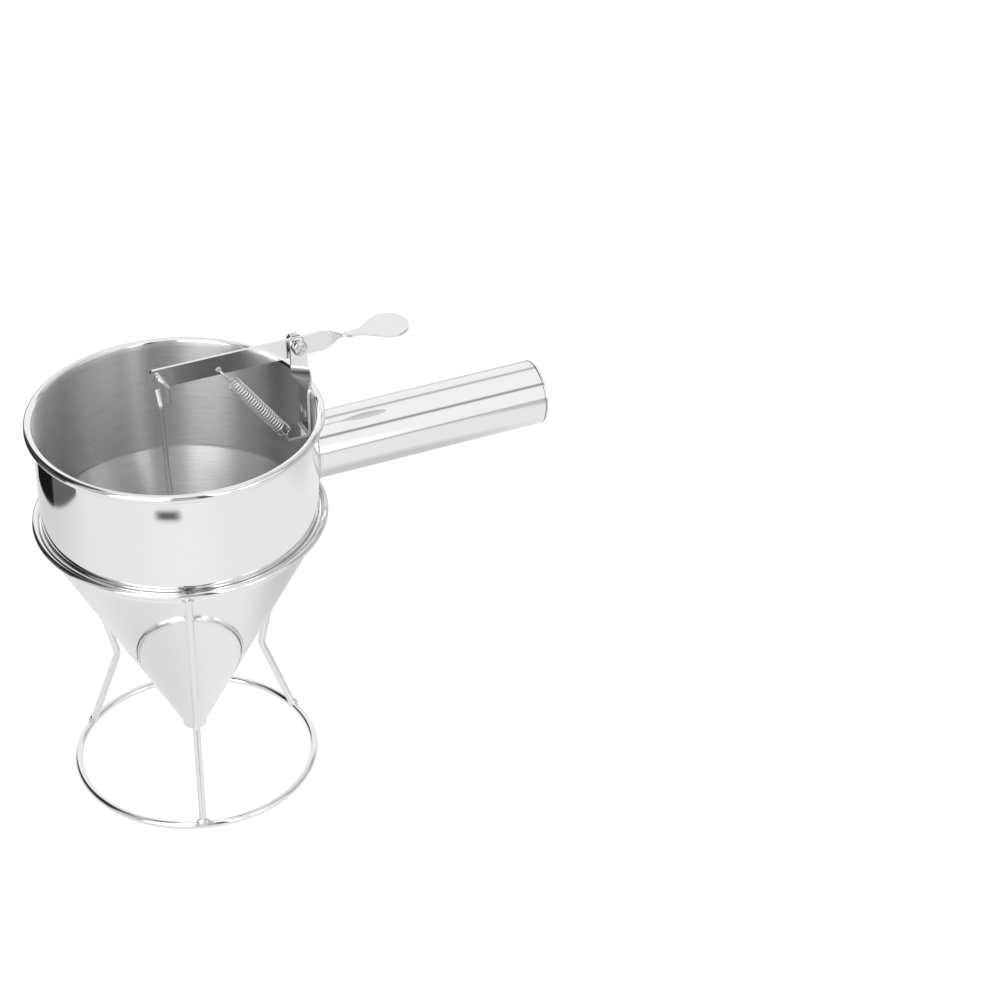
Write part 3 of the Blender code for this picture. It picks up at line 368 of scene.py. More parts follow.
def braced(outline, reach=0.3 * MM):
    """Add points near both ends of long stretches, so that smooth shading bends only at corners."""
    least = 6 * reach
    points = [outline[0]]
    for before, after in zip(outline, outline[1:]):
        a, b = Vector(before), Vector(after)
        stretch = (b - a).length
        if stretch > least:
            points += [tuple(a.lerp(b, reach / stretch)), tuple(b.lerp(a, reach / stretch))]
        points.append(after)
    return points


def eased(part):
    """Slow start and slow end, for twists."""
    return part * part * (3 - 2 * part)


def at_axis(x, y, z):
    """A point given from the hopper's axis."""
    return AXIS + Vector((x, y, z))


def polar(radius, angle, z):
    return at_axis(radius * cos(angle), radius * sin(angle), z)


def placed(centre, across, thick, width, thickness):
    """Matrix that lays a unit square at centre, its sides along two directions at two sizes."""
    a = Vector(across).normalized()
    b = Vector(thick).normalized()
    turned = Matrix((a * width, b * thickness, a.cross(b))).transposed().to_4x4()
    return Matrix.Translation(centre) @ turned


def along_path(points):
    """A place matrix at each point of a path, its Z along the path, without twist."""
    places = []
    heading = None
    for i, point in enumerate(points):
        ahead = (points[min(i + 1, len(points) - 1)] - points[max(i - 1, 0)]).normalized()
        if heading is None:
            heading = Vector((0, 0, 1)).rotation_difference(ahead)
        else:
            heading = (heading @ Vector((0, 0, 1))).rotation_difference(ahead) @ heading
        places.append(Matrix.Translation(point) @ heading.to_matrix().to_4x4())
    return places


def only(kind, items):
    """The items of one kind among those that an operator returns."""
    return [item for item in items if isinstance(item, kind)]


def extruded_loop(form, edges, matrix):
    """Extrude a loop of edges, move the new loop, and return its edges."""
    grown = bmesh.ops.extrude_edge_only(form, edges=edges)["geom"]
    verts = only(bmesh.types.BMVert, grown)
    bmesh.ops.transform(form, matrix=matrix, verts=verts)
    new = set(verts)
    return [edge for edge in only(bmesh.types.BMEdge, grown) if new.issuperset(edge.verts)]


def swept(form, edges, places, closed=False):
    """Carry a loop in the XY plane through a row of place matrices, and close the ends."""
    loop = list({vert for edge in edges for vert in edge.verts})
    bmesh.ops.transform(form, matrix=places[0], verts=loop)
    first = edges
    for before, after in zip(places, places[1:]):
        edges = extruded_loop(form, edges, after @ before.inverted())
    if closed:
        bmesh.ops.bridge_loops(form, edges=first + edges)
    else:
        bmesh.ops.edgeloop_fill(form, edges=first)
        bmesh.ops.edgeloop_fill(form, edges=edges)


def round_loop(form, radius, sides):
    circle = bmesh.ops.create_circle(form, segments=sides, radius=radius)
    return list({edge for vert in circle["verts"] for edge in vert.link_edges})


def square_loop(form):
    """Unit square, its corners at half a unit."""
    grid = bmesh.ops.create_grid(form, x_segments=1, y_segments=1, size=HALF)
    edges = list({edge for vert in grid["verts"] for edge in vert.link_edges})
    faces = list({face for vert in grid["verts"] for face in vert.link_faces})
    bmesh.ops.delete(form, geom=faces, context="FACES_ONLY")
    return edges


def spun(form, profile, steps, angle=FULL_TURN, start=0.0):
    """Turn an outline of (radius, z) points about Z; one that starts on the axis ends there too."""
    corners = [form.verts.new((r * cos(start), r * sin(start), z)) for r, z in profile]
    pairs = list(zip(corners, corners[1:]))
    if profile[0][0] != 0:
        pairs.append((corners[-1], corners[0]))
    edges = [form.edges.new(pair) for pair in pairs]
    full = angle == FULL_TURN
    last = bmesh.ops.spin(
        form, geom=corners + edges, cent=(0, 0, 0), axis=(0, 0, 1), angle=angle, steps=steps,
        use_merge=full,
    )["geom_last"]
    if not full:
        bmesh.ops.edgeloop_fill(form, edges=edges)
        bmesh.ops.edgeloop_fill(form, edges=only(bmesh.types.BMEdge, last))
    bmesh.ops.remove_doubles(form, verts=form.verts, dist=MERGE)


def along_x(x, y, z):
    """Matrix that lays a form made about Z along X, its start at a place."""
    return Matrix.Translation((x, y, z)) @ Matrix.Rotation(HALF * pi, 4, "Y")


def solid(name, form, crease=SHEET_CREASE):
    """Object from a closed form, its faces outwards and its round parts smooth."""
    bmesh.ops.recalc_face_normals(form, faces=form.faces)
    mesh = bpy.data.meshes.new(name)
    form.to_mesh(mesh)
    form.free()
    mesh.shade_smooth()
    mesh.set_sharp_from_angle(angle=radians(crease))
    thing = bpy.data.objects.new(name, mesh)
    bpy.context.scene.collection.objects.link(thing)
    return thing


def revolved(name, profile, steps, place=ON_AXIS, **part):
    """Turned piece from an outline of (radius, z) points, laid at its place."""
    form = bmesh.new()
    spun(form, profile, steps, **part)
    bmesh.ops.transform(form, matrix=place, verts=form.verts)
    return solid(name, form)


def bent_wire(name, radius, sides, points):
    """Round wire along a row of points."""
    form = bmesh.new()
    swept(form, round_loop(form, radius, sides), along_path(points))
    return solid(name, form, WIRE_CREASE)


def carved(piece, cutters, crease=SHEET_CREASE):
    """Cut other solids out of a piece, and remove them."""
    for cutter in cutters:
        step = piece.modifiers.new(cutter.name, "BOOLEAN")
        step.object = cutter
        step.operation = "DIFFERENCE"
    bpy.context.view_layer.update()
    finished = piece.evaluated_get(bpy.context.evaluated_depsgraph_get())
    mesh = bpy.data.meshes.new_from_object(finished)
    piece.modifiers.clear()
    piece.data = mesh
    for cutter in cutters:
        bpy.data.objects.remove(cutter)
    mesh.shade_smooth()
    mesh.set_sharp_from_angle(angle=radians(crease))


def hole_cutter(name, radius, middle, reach, sides=48):
    """Round bar through a hole's middle, as far as reach to both sides."""
    form = bmesh.new()
    bmesh.ops.create_cone(
        form, cap_ends=True, segments=sides, radius1=radius, radius2=radius, depth=2 * reach.length,
    )
    heading = Vector((0, 0, 1)).rotation_difference(reach.normalized())
    place = Matrix.Translation(middle) @ heading.to_matrix().to_4x4()
    bmesh.ops.transform(form, matrix=place, verts=form.verts)
    return solid(name, form)


def soften(piece, width, angle=50):
    """Round the sharp edges of a piece."""
    step = piece.modifiers.new("edges", "BEVEL")
    step.width = width
    step.segments = 2
    step.limit_method = "ANGLE"
    step.angle_limit = radians(angle)
    step.harden_normals = True


def bent_strip(name, places, cutters, edge):
    """Flat strip through a row of place matrices, its holes cut and its edges rounded."""
    form = bmesh.new()
    swept(form, square_loop(form), places)
    piece = solid(name, form, STRIP_CREASE)
    carved(piece, cutters, STRIP_CREASE)
    soften(piece, edge)
    return piece


def dress(piece, body, slot, node, *finishes):
    """Give a piece its body and finishes, and let it stand for the model's node, if any."""
    piece.data.materials.clear()
    for name in finishes:
        piece.data.materials.append(finish(name))
    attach(piece, body)
    if node:
        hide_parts(node)


def face_inwards(piece, top):
    """Give the second finish to the faces that look at the hopper's axis, below a height."""
    for face in piece.data.polygons:
        out = Vector((face.center.x - AXIS.x, face.center.y, 0)).normalized()
        if face.normal.dot(out) < 0 and face.center.z < top:
            face.material_index = 1


def numbered(values):
    """Values for a node's inputs by their number."""
    return {f"i{i}": value for i, value in enumerate(values)}


class Recipe:
    """Short ways to add and join the nodes of one material or world."""

    def __init__(self, holder):
        holder.use_nodes = True
        self.tree = holder.node_tree
        self.tree.nodes.clear()

    def add(self, kind, settings=None, **inputs):
        node = self.tree.nodes.new(kind)
        for name, value in (settings or {}).items():
            setattr(node, name, value)
        for name, value in inputs.items():
            self.feed(node, name, value)
        return node

    def feed(self, node, name, value):
        """Set an input by name or number, from a value or another node's output."""
        key = int(name[1:]) if name[0] == "i" and name[1:].isdigit() else name.replace("_", " ")
        socket = node.inputs[key]
        if isinstance(value, bpy.types.NodeSocket):
            self.tree.links.new(value, socket)
        else:
            socket.default_value = value

    def math(self, operation, *values):
        return self.add("ShaderNodeMath", {"operation": operation}, **numbered(values)).outputs[0]

    def times(self, *values):
        return self.math("MULTIPLY", *values)

    def vector(self, operation, *values):
        """A vector from vectors, or a number where the operation is LENGTH."""
        node = self.add("ShaderNodeVectorMath", {"operation": operation}, **numbered(values))
        return node.outputs["Value" if operation == "LENGTH" else "Vector"]

    def ramp(self, value, low, high, out_low=0.0, out_high=1.0, smooth=False):
        """Map a value from one range to another, held at its ends."""
        settings = {"interpolation_type": "SMOOTHSTEP" if smooth else "LINEAR", "clamp": True}
        limits = (value, low, high, out_low, out_high)
        return self.add("ShaderNodeMapRange", settings, **numbered(limits)).outputs[0]

    def noise(self, coordinates, scale, detail, roughness=0.5):
        node = self.add(
            "ShaderNodeTexNoise", Vector=coordinates, Scale=scale, Detail=detail,
            Roughness=roughness,
        )
        return node.outputs["Fac"]

    def split(self, coordinates):
        return self.add("ShaderNodeSeparateXYZ", i0=coordinates).outputs

    def join(self, x, y, z):
        return self.add("ShaderNodeCombineXYZ", **numbered((x, y, z))).outputs[0]


def round_the_axis(recipe, place, about, height):
    """Coordinates that follow a circle about the hopper's axis, stretched by two amounts."""
    parts = recipe.split(recipe.vector("SUBTRACT", place, tuple(AXIS)))
    flat = recipe.join(parts[0], parts[1], 0.0)
    unit = recipe.split(recipe.vector("NORMALIZE", flat))
    return recipe.join(
        recipe.times(unit[0], about), recipe.times(unit[1], about), recipe.times(parts[2], height),
    )


WAVE_SCALE = 22.0
TONE_GRAIN = (0.25, 0.75)
GLOSS_GRAIN = (0.3, 0.7)
GLOSS_SWING = 0.15


def steel(name, colour, roughness, grain, grain_depth, shade=0.06, wave=0.0, aniso=0.0):
    """Steel with a fine grain in its tone and gloss, and a slow wave in its sheet."""
    material = bpy.data.materials.new(name)
    recipe = Recipe(material)
    place = recipe.add("ShaderNodeTexCoord").outputs["Object"]
    fine = recipe.noise(grain(recipe, place), scale=1.0, detail=3.0, roughness=0.6)
    level = recipe.ramp(fine, *TONE_GRAIN, 1 - shade, 1.0)
    tint = recipe.add(
        "ShaderNodeMix", {"data_type": "RGBA", "blend_type": "MULTIPLY"},
        i0=1.0, i6=(*colour, 1), i7=recipe.join(level, level, level),
    )
    low, high = roughness * (1 - GLOSS_SWING), roughness * (1 + GLOSS_SWING)
    rough = recipe.ramp(fine, *GLOSS_GRAIN, low, high)
    shader = recipe.add("ShaderNodeBsdfPrincipled", Roughness=rough, Base_Color=tint.outputs[2])
    shader.inputs["Metallic"].default_value = 1.0
    if aniso:
        shader.inputs["Anisotropic"].default_value = aniso
        recipe.feed(shader, "Tangent", recipe.join(0.0, 0.0, 1.0))
    bump = recipe.add("ShaderNodeBump", Height=fine, Strength=1.0, Distance=grain_depth)
    if wave:
        slow = recipe.noise(place, WAVE_SCALE, detail=1.0)
        under = recipe.add("ShaderNodeBump", Height=slow, Strength=1.0, Distance=wave)
        recipe.feed(bump, "Normal", under.outputs[0])
    recipe.feed(shader, "Normal", bump.outputs[0])
    recipe.add("ShaderNodeOutputMaterial", i0=shader.outputs[0])
    return material


def hoop_grain(about, height):
    """Grain that runs round the hopper."""
    return lambda recipe, place: round_the_axis(recipe, place, about, height)


def line_grain(x, y, z):
    """Grain stretched by three amounts along the axes."""
    return lambda recipe, place: recipe.vector("MULTIPLY", place, (x, y, z))


FINISHES = {
    # colour, roughness, grain, grain depth, change of tone, wave, stretch of the gloss
    "polished_cup": ("polished", 0.045, hoop_grain(9, 2600), 0.0004 * MM, 0.02, 0.02 * MM),
    "brushed_cup": ("brushed", 0.45, hoop_grain(5, 1400), 0.003 * MM, 0.18, 0.0, 1.0),
    "brushed_cone": ("brushed", 0.34, hoop_grain(5, 1400), 0.003 * MM, 0.18, 0.0, 0.9),
    "polished_handle": ("polished", 0.05, line_grain(30, 2200, 2200), 0.0004 * MM, 0.02, 0.01 * MM),
    "drawn_wire": ("wire", 0.08, line_grain(900, 900, 900), 0.001 * MM, 0.05),
    "rolled_strip": ("strip", 0.10, line_grain(60, 2400, 2400), 0.001 * MM, 0.04, 0.02 * MM),
    "rolled_bracket": ("strip", 0.12, line_grain(2400, 2400, 60), 0.001 * MM, 0.04, 0.02 * MM),
    "lift_wire": ("strip", 0.32, line_grain(900, 900, 900), 0.001 * MM, 0.05),
    "wound_spring": ("spring", 0.18, line_grain(1500, 1500, 1500), 0.001 * MM, 0.05),
    "plated_steel": ("fastener", 0.22, line_grain(1200, 1200, 1200), 0.001 * MM, 0.05),
    "saddle_bead": ("bead", 0.22, line_grain(900, 900, 900), 0.02 * MM, 0.15),
    "pitted_bead": ("pitted", 0.30, line_grain(900, 900, 900), 0.10 * MM, 0.70),
}


def finish(name):
    """The named steel, made when it is first wanted."""
    made = bpy.data.materials.get(name)
    if made is None:
        colour, *settings = FINISHES[name]
        made = steel(name, getattr(bpy.context.scene.funnel_finishes, colour), *settings)
    return made


def cup_profile(sizes):
    """Wall, lean into the rim and the bead rolled outwards, as (radius, z) points."""
    bead_r = HALF * sizes.rim_bead
    centre = (sizes.rim_radius - bead_r, sizes.rim_top - bead_r)
    inner = sizes.radius - sizes.wall
    lean = sizes.rim_lean
    meet_r = centre[0] - bead_r * cos(lean)
    meet_z = centre[1] + bead_r * sin(lean)
    lean_radius = (meet_r - inner) / (1 - cos(lean))
    lean_z = meet_z - lean_radius * sin(lean)
    meet = 180 - degrees(lean)
    leaning = arc((inner + lean_radius, lean_z), lean_radius, 180, meet, steps=6)
    inside = [(inner, JOINT_Z)] + leaning
    roll = arc(centre, bead_r, meet, degrees(sizes.rim_end), steps=40)[1:]
    outside = [(sizes.radius, centre[1] - bead_r), (sizes.radius, JOINT_Z)]
    return braced(inside + roll + outside), meet_z


SHOULDER_SHARE = 0.97


def cone_profile(sizes):
    """Rounded shoulder, sloping sheet, short spout and curled lip, as (radius, z) points."""
    spout_top = sizes.outlet + sizes.spout_height
    lean = atan2(sizes.radius - sizes.spout_radius, sizes.shoulder - spout_top)
    rise = sizes.wall * (1 / cos(lean) - 1) / tan(lean)
    lip = (sizes.spout_radius - sizes.spout_lip, sizes.outlet + sizes.spout_lip)
    sides = []
    for wall, up, shoulder_r in (
        (0, 0, sizes.shoulder_blend * SHOULDER_SHARE),
        (sizes.wall, rise, sizes.shoulder_blend - sizes.wall),
    ):
        route = [
            (sizes.radius - wall, 0, JOINT_Z),
            (sizes.radius - wall, 0, sizes.shoulder + up),
            (sizes.spout_radius - wall, 0, spout_top + up),
            (sizes.spout_radius - wall, 0, lip[1]),
        ]
        side = [(p.x, p.z) for p in rounded_path(route, [shoulder_r, sizes.spout_blend])]
        sides.append(side + arc(lip, sizes.spout_lip - wall, 0, -90, steps=10)[1:])
    outside, inside = sides
    return braced(outside + inside[::-1])


class FunnelCup(bpy.types.Operator):
    """Add the cup: wall, rolled rim and lapped side seam"""

    bl_idname = "funnel.cup"
    bl_label = "Cup"

    def execute(self, context):
        sizes = context.scene.funnel_sheet
        profile, wall_top = cup_profile(sizes)
        cup = revolved("cup_wall", profile, sizes.steps)
        dress(cup, "hopper", "polished_sheet", "hopper_band", "polished_cup", "brushed_cup")
        face_inwards(cup, wall_top)
        self.add_seam(sizes)
        return {"FINISHED"}

    def add_seam(self, sizes):
        """The end of the sheet that laps over the other, with its spot welds."""
        low, high = JOINT_Z, sizes.rim_top - sizes.rim_bead
        lap_r = sizes.radius + sizes.seam_step
        under_r = sizes.radius - HALF * sizes.wall
        start = asin(sizes.seam_near / sizes.radius)
        sweep = sizes.seam_lap / sizes.radius
        outline = [(under_r, low), (lap_r, low), (lap_r, high), (under_r, high)]
        lap = revolved("seam_lap", outline, sizes.seam_steps, angle=sweep, start=start)
        dish_r = (sizes.spot_radius ** 2 + sizes.spot_depth ** 2) / (2 * sizes.spot_depth)
        spots = []
        for i in range(sizes.spot_count):
            z = low + (high - low) * (i + 1) / (sizes.spot_count + 1)
            middle = polar(lap_r + dish_r - sizes.spot_depth, start + HALF * sweep, z)
            form = bmesh.new()
            bmesh.ops.create_uvsphere(form, u_segments=64, v_segments=48, radius=dish_r)
            bmesh.ops.translate(form, verts=form.verts, vec=middle)
            spots.append(solid(f"spot_{i}", form))
        carved(lap, spots, crease=8)
        dress(lap, "hopper", "polished_sheet", None, "polished_cup")


class FunnelCone(bpy.types.Operator):
    """Add the cone with its spout"""

    bl_idname = "funnel.cone"
    bl_label = "Cone"

    def execute(self, context):
        sizes = context.scene.funnel_sheet
        cone = revolved("cone_sheet", cone_profile(sizes), sizes.steps)
        dress(cone, "hopper", "polished_sheet", "hopper_cone", "polished_cup", "brushed_cone")
        face_inwards(cone, CUP_HIGH.z)
        return {"FINISHED"}


LUMP_SWELL = 0.22
LUMP_SCALE = 1.7
BASE_SEED = 0.5
LUMP_SEED = 7


def bead_lump(form, centre, sizes, angle, seed):
    """Uneven lump of weld metal."""
    lump = bmesh.ops.create_icosphere(form, subdivisions=4, radius=1)["verts"]
    for vert in lump:
        vert.co *= 1 + LUMP_SWELL * noise.noise(vert.co * LUMP_SCALE + Vector((seed, 0, 0)))
    turned = Matrix.Rotation(angle, 4, "Z")
    size = Matrix.Diagonal((*sizes, 1))
    bmesh.ops.transform(form, matrix=Matrix.Translation(centre) @ turned @ size, verts=lump)


class FunnelStand(bpy.types.Operator):
    """Add the wire stand: two rings, three legs and their welds"""

    bl_idname = "funnel.stand"
    bl_label = "Stand"

    def execute(self, context):
        sizes = context.scene.funnel_stand
        wire_r = HALF * sizes.wire
        for node, radius, height in (
            ("top_ring", sizes.top_radius - wire_r, sizes.top_height),
            ("base_ring", sizes.base_radius - wire_r, wire_r),
        ):
            section = arc((radius, height), wire_r, 0, 360, steps=sizes.wire_sides)[:-1]
            ring = revolved(f"{node}_wire", section, sizes.ring_steps)
            dress(ring, "stand", "stand_wire", node, "drawn_wire")
        for number in range(sizes.leg_count):
            self.add_leg(sizes, number, context.scene.funnel_sheet)
        return {"FINISHED"}

    def add_leg(self, sizes, number, sheet):
        """Leg from under the top ring to the base ring, bent at the waist, and its welds."""
        wire_r = HALF * sizes.wire
        ring_r = sizes.top_radius - wire_r
        base_r = sizes.base_radius - wire_r
        angle = sizes.leg_start + FULL_TURN * number / sizes.leg_count
        lean = atan2(ring_r - sizes.waist_radius, sizes.top_height - sizes.waist_height)
        clear = sheet.radius + wire_r / cos(lean)
        slope = (clear - sizes.waist_radius) / (sheet.shoulder - sizes.waist_height)
        top_z = sizes.top_height - HALF * wire_r
        route = [
            polar(sizes.waist_radius + slope * (top_z - sizes.waist_height), angle, top_z),
            polar(sizes.waist_radius, angle, sizes.waist_height),
            polar(base_r, angle, wire_r),
        ]
        name = f"leg_{number + 1}"
        leg = bent_wire(f"{name}_wire", wire_r, sizes.wire_sides, rounded_path(route, [sizes.bend]))
        dress(leg, "stand", "stand_wire", f"stand_{name}", "drawn_wire")
        bead = (sizes.bead_radial, sizes.bead_along, sizes.bead_height)
        lump = (sizes.lump_radial, sizes.lump_along, sizes.lump_height)
        lump_r = sheet.radius + sizes.lump_gap + sizes.lump_radial * sizes.lump_room
        lump_z = sizes.top_height + sizes.lump_rise * wire_r
        welds = (
            (polar(ring_r, angle, sizes.top_height - wire_r), bead, number),
            (polar(base_r, angle, sizes.wire), bead, number + BASE_SEED),
        )
        lumps = ((polar(lump_r, angle, lump_z), lump, number + LUMP_SEED),)
        for kind, metal, beads in (("welds", "saddle_bead", welds), ("lump", "pitted_bead", lumps)):
            form = bmesh.new()
            for centre, halves, seed in beads:
                bead_lump(form, centre, halves, angle, seed)
            dress(solid(f"{name}_{kind}", form, BEAD_CREASE), "stand", "stand_wire", None, metal)


class FunnelHandle(bpy.types.Operator):
    """Add the tube handle, its weld and its end cap"""

    bl_idname = "funnel.handle"
    bl_label = "Handle"

    def execute(self, context):
        sizes = context.scene.funnel_handle
        sheet = context.scene.funnel_sheet
        self.add_tube(sizes, sheet)
        self.add_weld(sizes, sheet)
        self.add_cap(sizes)
        return {"FINISHED"}

    def add_tube(self, sizes, sheet):
        """Tube whose root follows the cup's wall."""
        form = bmesh.new()
        outer = HANDLE_RADIUS
        inner = HANDLE_RADIUS - sizes.wall
        root_x = TUBE_LOW.x
        end_x = TUBE_HIGH.x
        edge = sizes.edge_round
        edges = round_loop(form, outer, sizes.steps)
        bmesh.ops.transform(form, matrix=along_x(root_x, 0, HANDLE_Z), verts=form.verts)
        first = edges
        stops = [(end_x - edge, outer), (end_x, outer - edge), (end_x, inner), (root_x, inner)]
        x, radius = root_x, outer
        for new_x, new_radius in stops:
            grow = Matrix.Diagonal((1, new_radius / radius, new_radius / radius, 1))
            to = Matrix.Translation((new_x, 0, HANDLE_Z))
            edges = extruded_loop(form, edges, to @ grow @ Matrix.Translation((-x, 0, -HANDLE_Z)))
            x, radius = new_x, new_radius
        bmesh.ops.bridge_loops(form, edges=first + edges)
        for vert in form.verts:
            if abs(vert.co.x - root_x) < HALF * MM:
                vert.co.x = AXIS.x + sqrt(sheet.radius ** 2 - vert.co.y ** 2)
        tube = solid("handle_pipe", form)
        dress(tube, "hopper", "polished_sheet", "handle_tube", "polished_handle")

    def add_weld(self, sizes, sheet):
        """Rippled fillet bead along the saddle where the tube meets the wall."""
        route = []
        steps = sizes.ripple_steps * sizes.weld_ripples
        bend_r = HANDLE_RADIUS + sizes.weld_out
        for i in range(steps):
            angle = FULL_TURN * i / steps
            y = bend_r * sin(angle)
            x = sqrt((sheet.radius + sizes.weld_out) ** 2 - y * y)
            route.append(at_axis(x, y, HANDLE_Z + bend_r * cos(angle)))
        places = along_path([route[-1]] + route + [route[0]])[1:-1]
        sized = []
        for i, place in enumerate(places):
            swell = 1 + sizes.weld_ripple * sin(FULL_TURN * sizes.weld_ripples * i / steps)
            sized.append(place @ Matrix.Scale(swell, 4))
        form = bmesh.new()
        swept(form, round_loop(form, sizes.weld, sizes.weld_sides), sized, closed=True)
        weld = solid("handle_bead", form, BEAD_CREASE)
        dress(weld, "hopper", "satin_strip", "handle_weld", "saddle_bead")

    def add_cap(self, sizes):
        """Shallow dome, its brim over the tube's end and its skirt inside."""
        brim_back = sizes.cap_skirt
        face = brim_back + sizes.cap_brim
        top = face + sizes.cap_dome
        skirt_r = HANDLE_RADIUS - sizes.wall - sizes.cap_play
        flat_r = HANDLE_RADIUS - sizes.cap_round
        dome_r = (flat_r ** 2 + sizes.cap_dome ** 2) / (2 * sizes.cap_dome)
        crown = []
        for i in range(sizes.dome_steps + 1):
            angle = asin(flat_r / dome_r) * i / sizes.dome_steps
            crown.append((dome_r * sin(angle), top - dome_r * (1 - cos(angle))))
        edge_r = HALF * sizes.cap_brim
        shoulder = []
        for angle in (radians(70), radians(45), radians(20), 0):
            in_by, down_by = edge_r * (1 - cos(angle)), edge_r * (1 - sin(angle))
            shoulder.append((HANDLE_RADIUS - in_by, face - down_by))
        edge = sizes.edge_round
        lower = arc((HANDLE_RADIUS - edge, brim_back + edge), edge, 0, -90, steps=4)
        skirt = [
            (skirt_r, brim_back),
            (skirt_r, 0),
            (skirt_r - sizes.wall, 0),
            (skirt_r - sizes.wall, brim_back),
            (0, brim_back),
        ]
        place = along_x(CAP_HIGH.x - top, 0, HANDLE_Z)
        cap = revolved("handle_cap", crown + shoulder + lower + skirt, sizes.steps, place)
        dress(cap, "hopper", "polished_sheet", "handle_end_cap", "polished_handle")


class FunnelBracket(bpy.types.Operator):
    """Add the twisted bracket and its rivets"""

    bl_idname = "funnel.bracket"
    bl_label = "Bracket"

    def execute(self, context):
        sizes = context.scene.funnel_bracket
        y = HALF * (BRACKET_LOW.y + BRACKET_HIGH.y)
        tip_x = BRACKET_LOW.x
        tab_z = BRACKET_LOW.z + HALF * sizes.strip
        foot_x = tip_x + sizes.tab_reach
        places = [placed((tip_x, y, tab_z), (0, 1, 0), (0, 0, 1), sizes.width, sizes.strip)]
        middle = (foot_x - sizes.bend, tab_z + sizes.bend)
        for x, z in arc(middle, sizes.bend, -90, 0, steps=12):
            inward = (middle[0] - x, 0, middle[1] - z)
            places.append(placed((x, y, z), (0, 1, 0), inward, sizes.width, sizes.strip))
        for i in range(sizes.twist_steps + 1):
            part = eased(i / sizes.twist_steps)
            angle = part * HALF * pi
            x = foot_x + (PIVOT_X - foot_x) * part
            z = sizes.twist_low + (sizes.twist_high - sizes.twist_low) * i / sizes.twist_steps
            width = sizes.width + (sizes.ear_width - sizes.width) * part
            broad = (-sin(angle), cos(angle), 0)
            thick = (-cos(angle), -sin(angle), 0)
            places.append(placed((x, y, z), broad, thick, width, sizes.strip))
        ear = arc((0, PIVOT_Z), HALF * sizes.ear_width, 0, degrees(sizes.ear_end), steps=14)
        for half_width, z in ear:
            width = 2 * half_width
            places.append(placed((PIVOT_X, y, z), (-1, 0, 0), (0, -1, 0), width, sizes.strip))
        hole = Vector((tip_x + sizes.tab_hole_inset, 0, tab_z))
        cutter = hole_cutter("tab_hole", sizes.tab_hole, hole, Vector((0, 0, sizes.width)))
        bracket = bent_strip("bracket_strip", places, [cutter], sizes.edge)
        dress(bracket, "hopper", "satin_strip", "pivot_bracket", "rolled_bracket")
        self.add_rivets(sizes)
        return {"FINISHED"}

    def add_rivets(self, sizes):
        """Low domed heads inside the foot and outside the wall."""
        dome = sizes.rivet_dome
        for number in (1, 2):
            low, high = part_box(f"bracket_rivet_{number}")
            middle = HALF * (low + high)
            wide = high.x - low.x
            head_r = HALF * (high.z - low.z)
            neck_r = HALF * head_r
            outline = [(0, 0)]
            for angle in (radians(30), radians(60), radians(84)):
                outline.append((head_r * sin(angle), dome * (1 - cos(angle))))
            outline += [(head_r, dome), (neck_r, dome + sizes.rivet_step), (neck_r, wide - dome)]
            outline += [(head_r, wide - HALF * dome), (neck_r, wide), (0, wide)]
            place = along_x(low.x, middle.y, middle.z)
            rivet = revolved(f"rivet_{number}", outline, sizes.rivet_steps, place)
            dress(rivet, "hopper", "satin_strip", f"bracket_rivet_{number}", "brushed_cup")


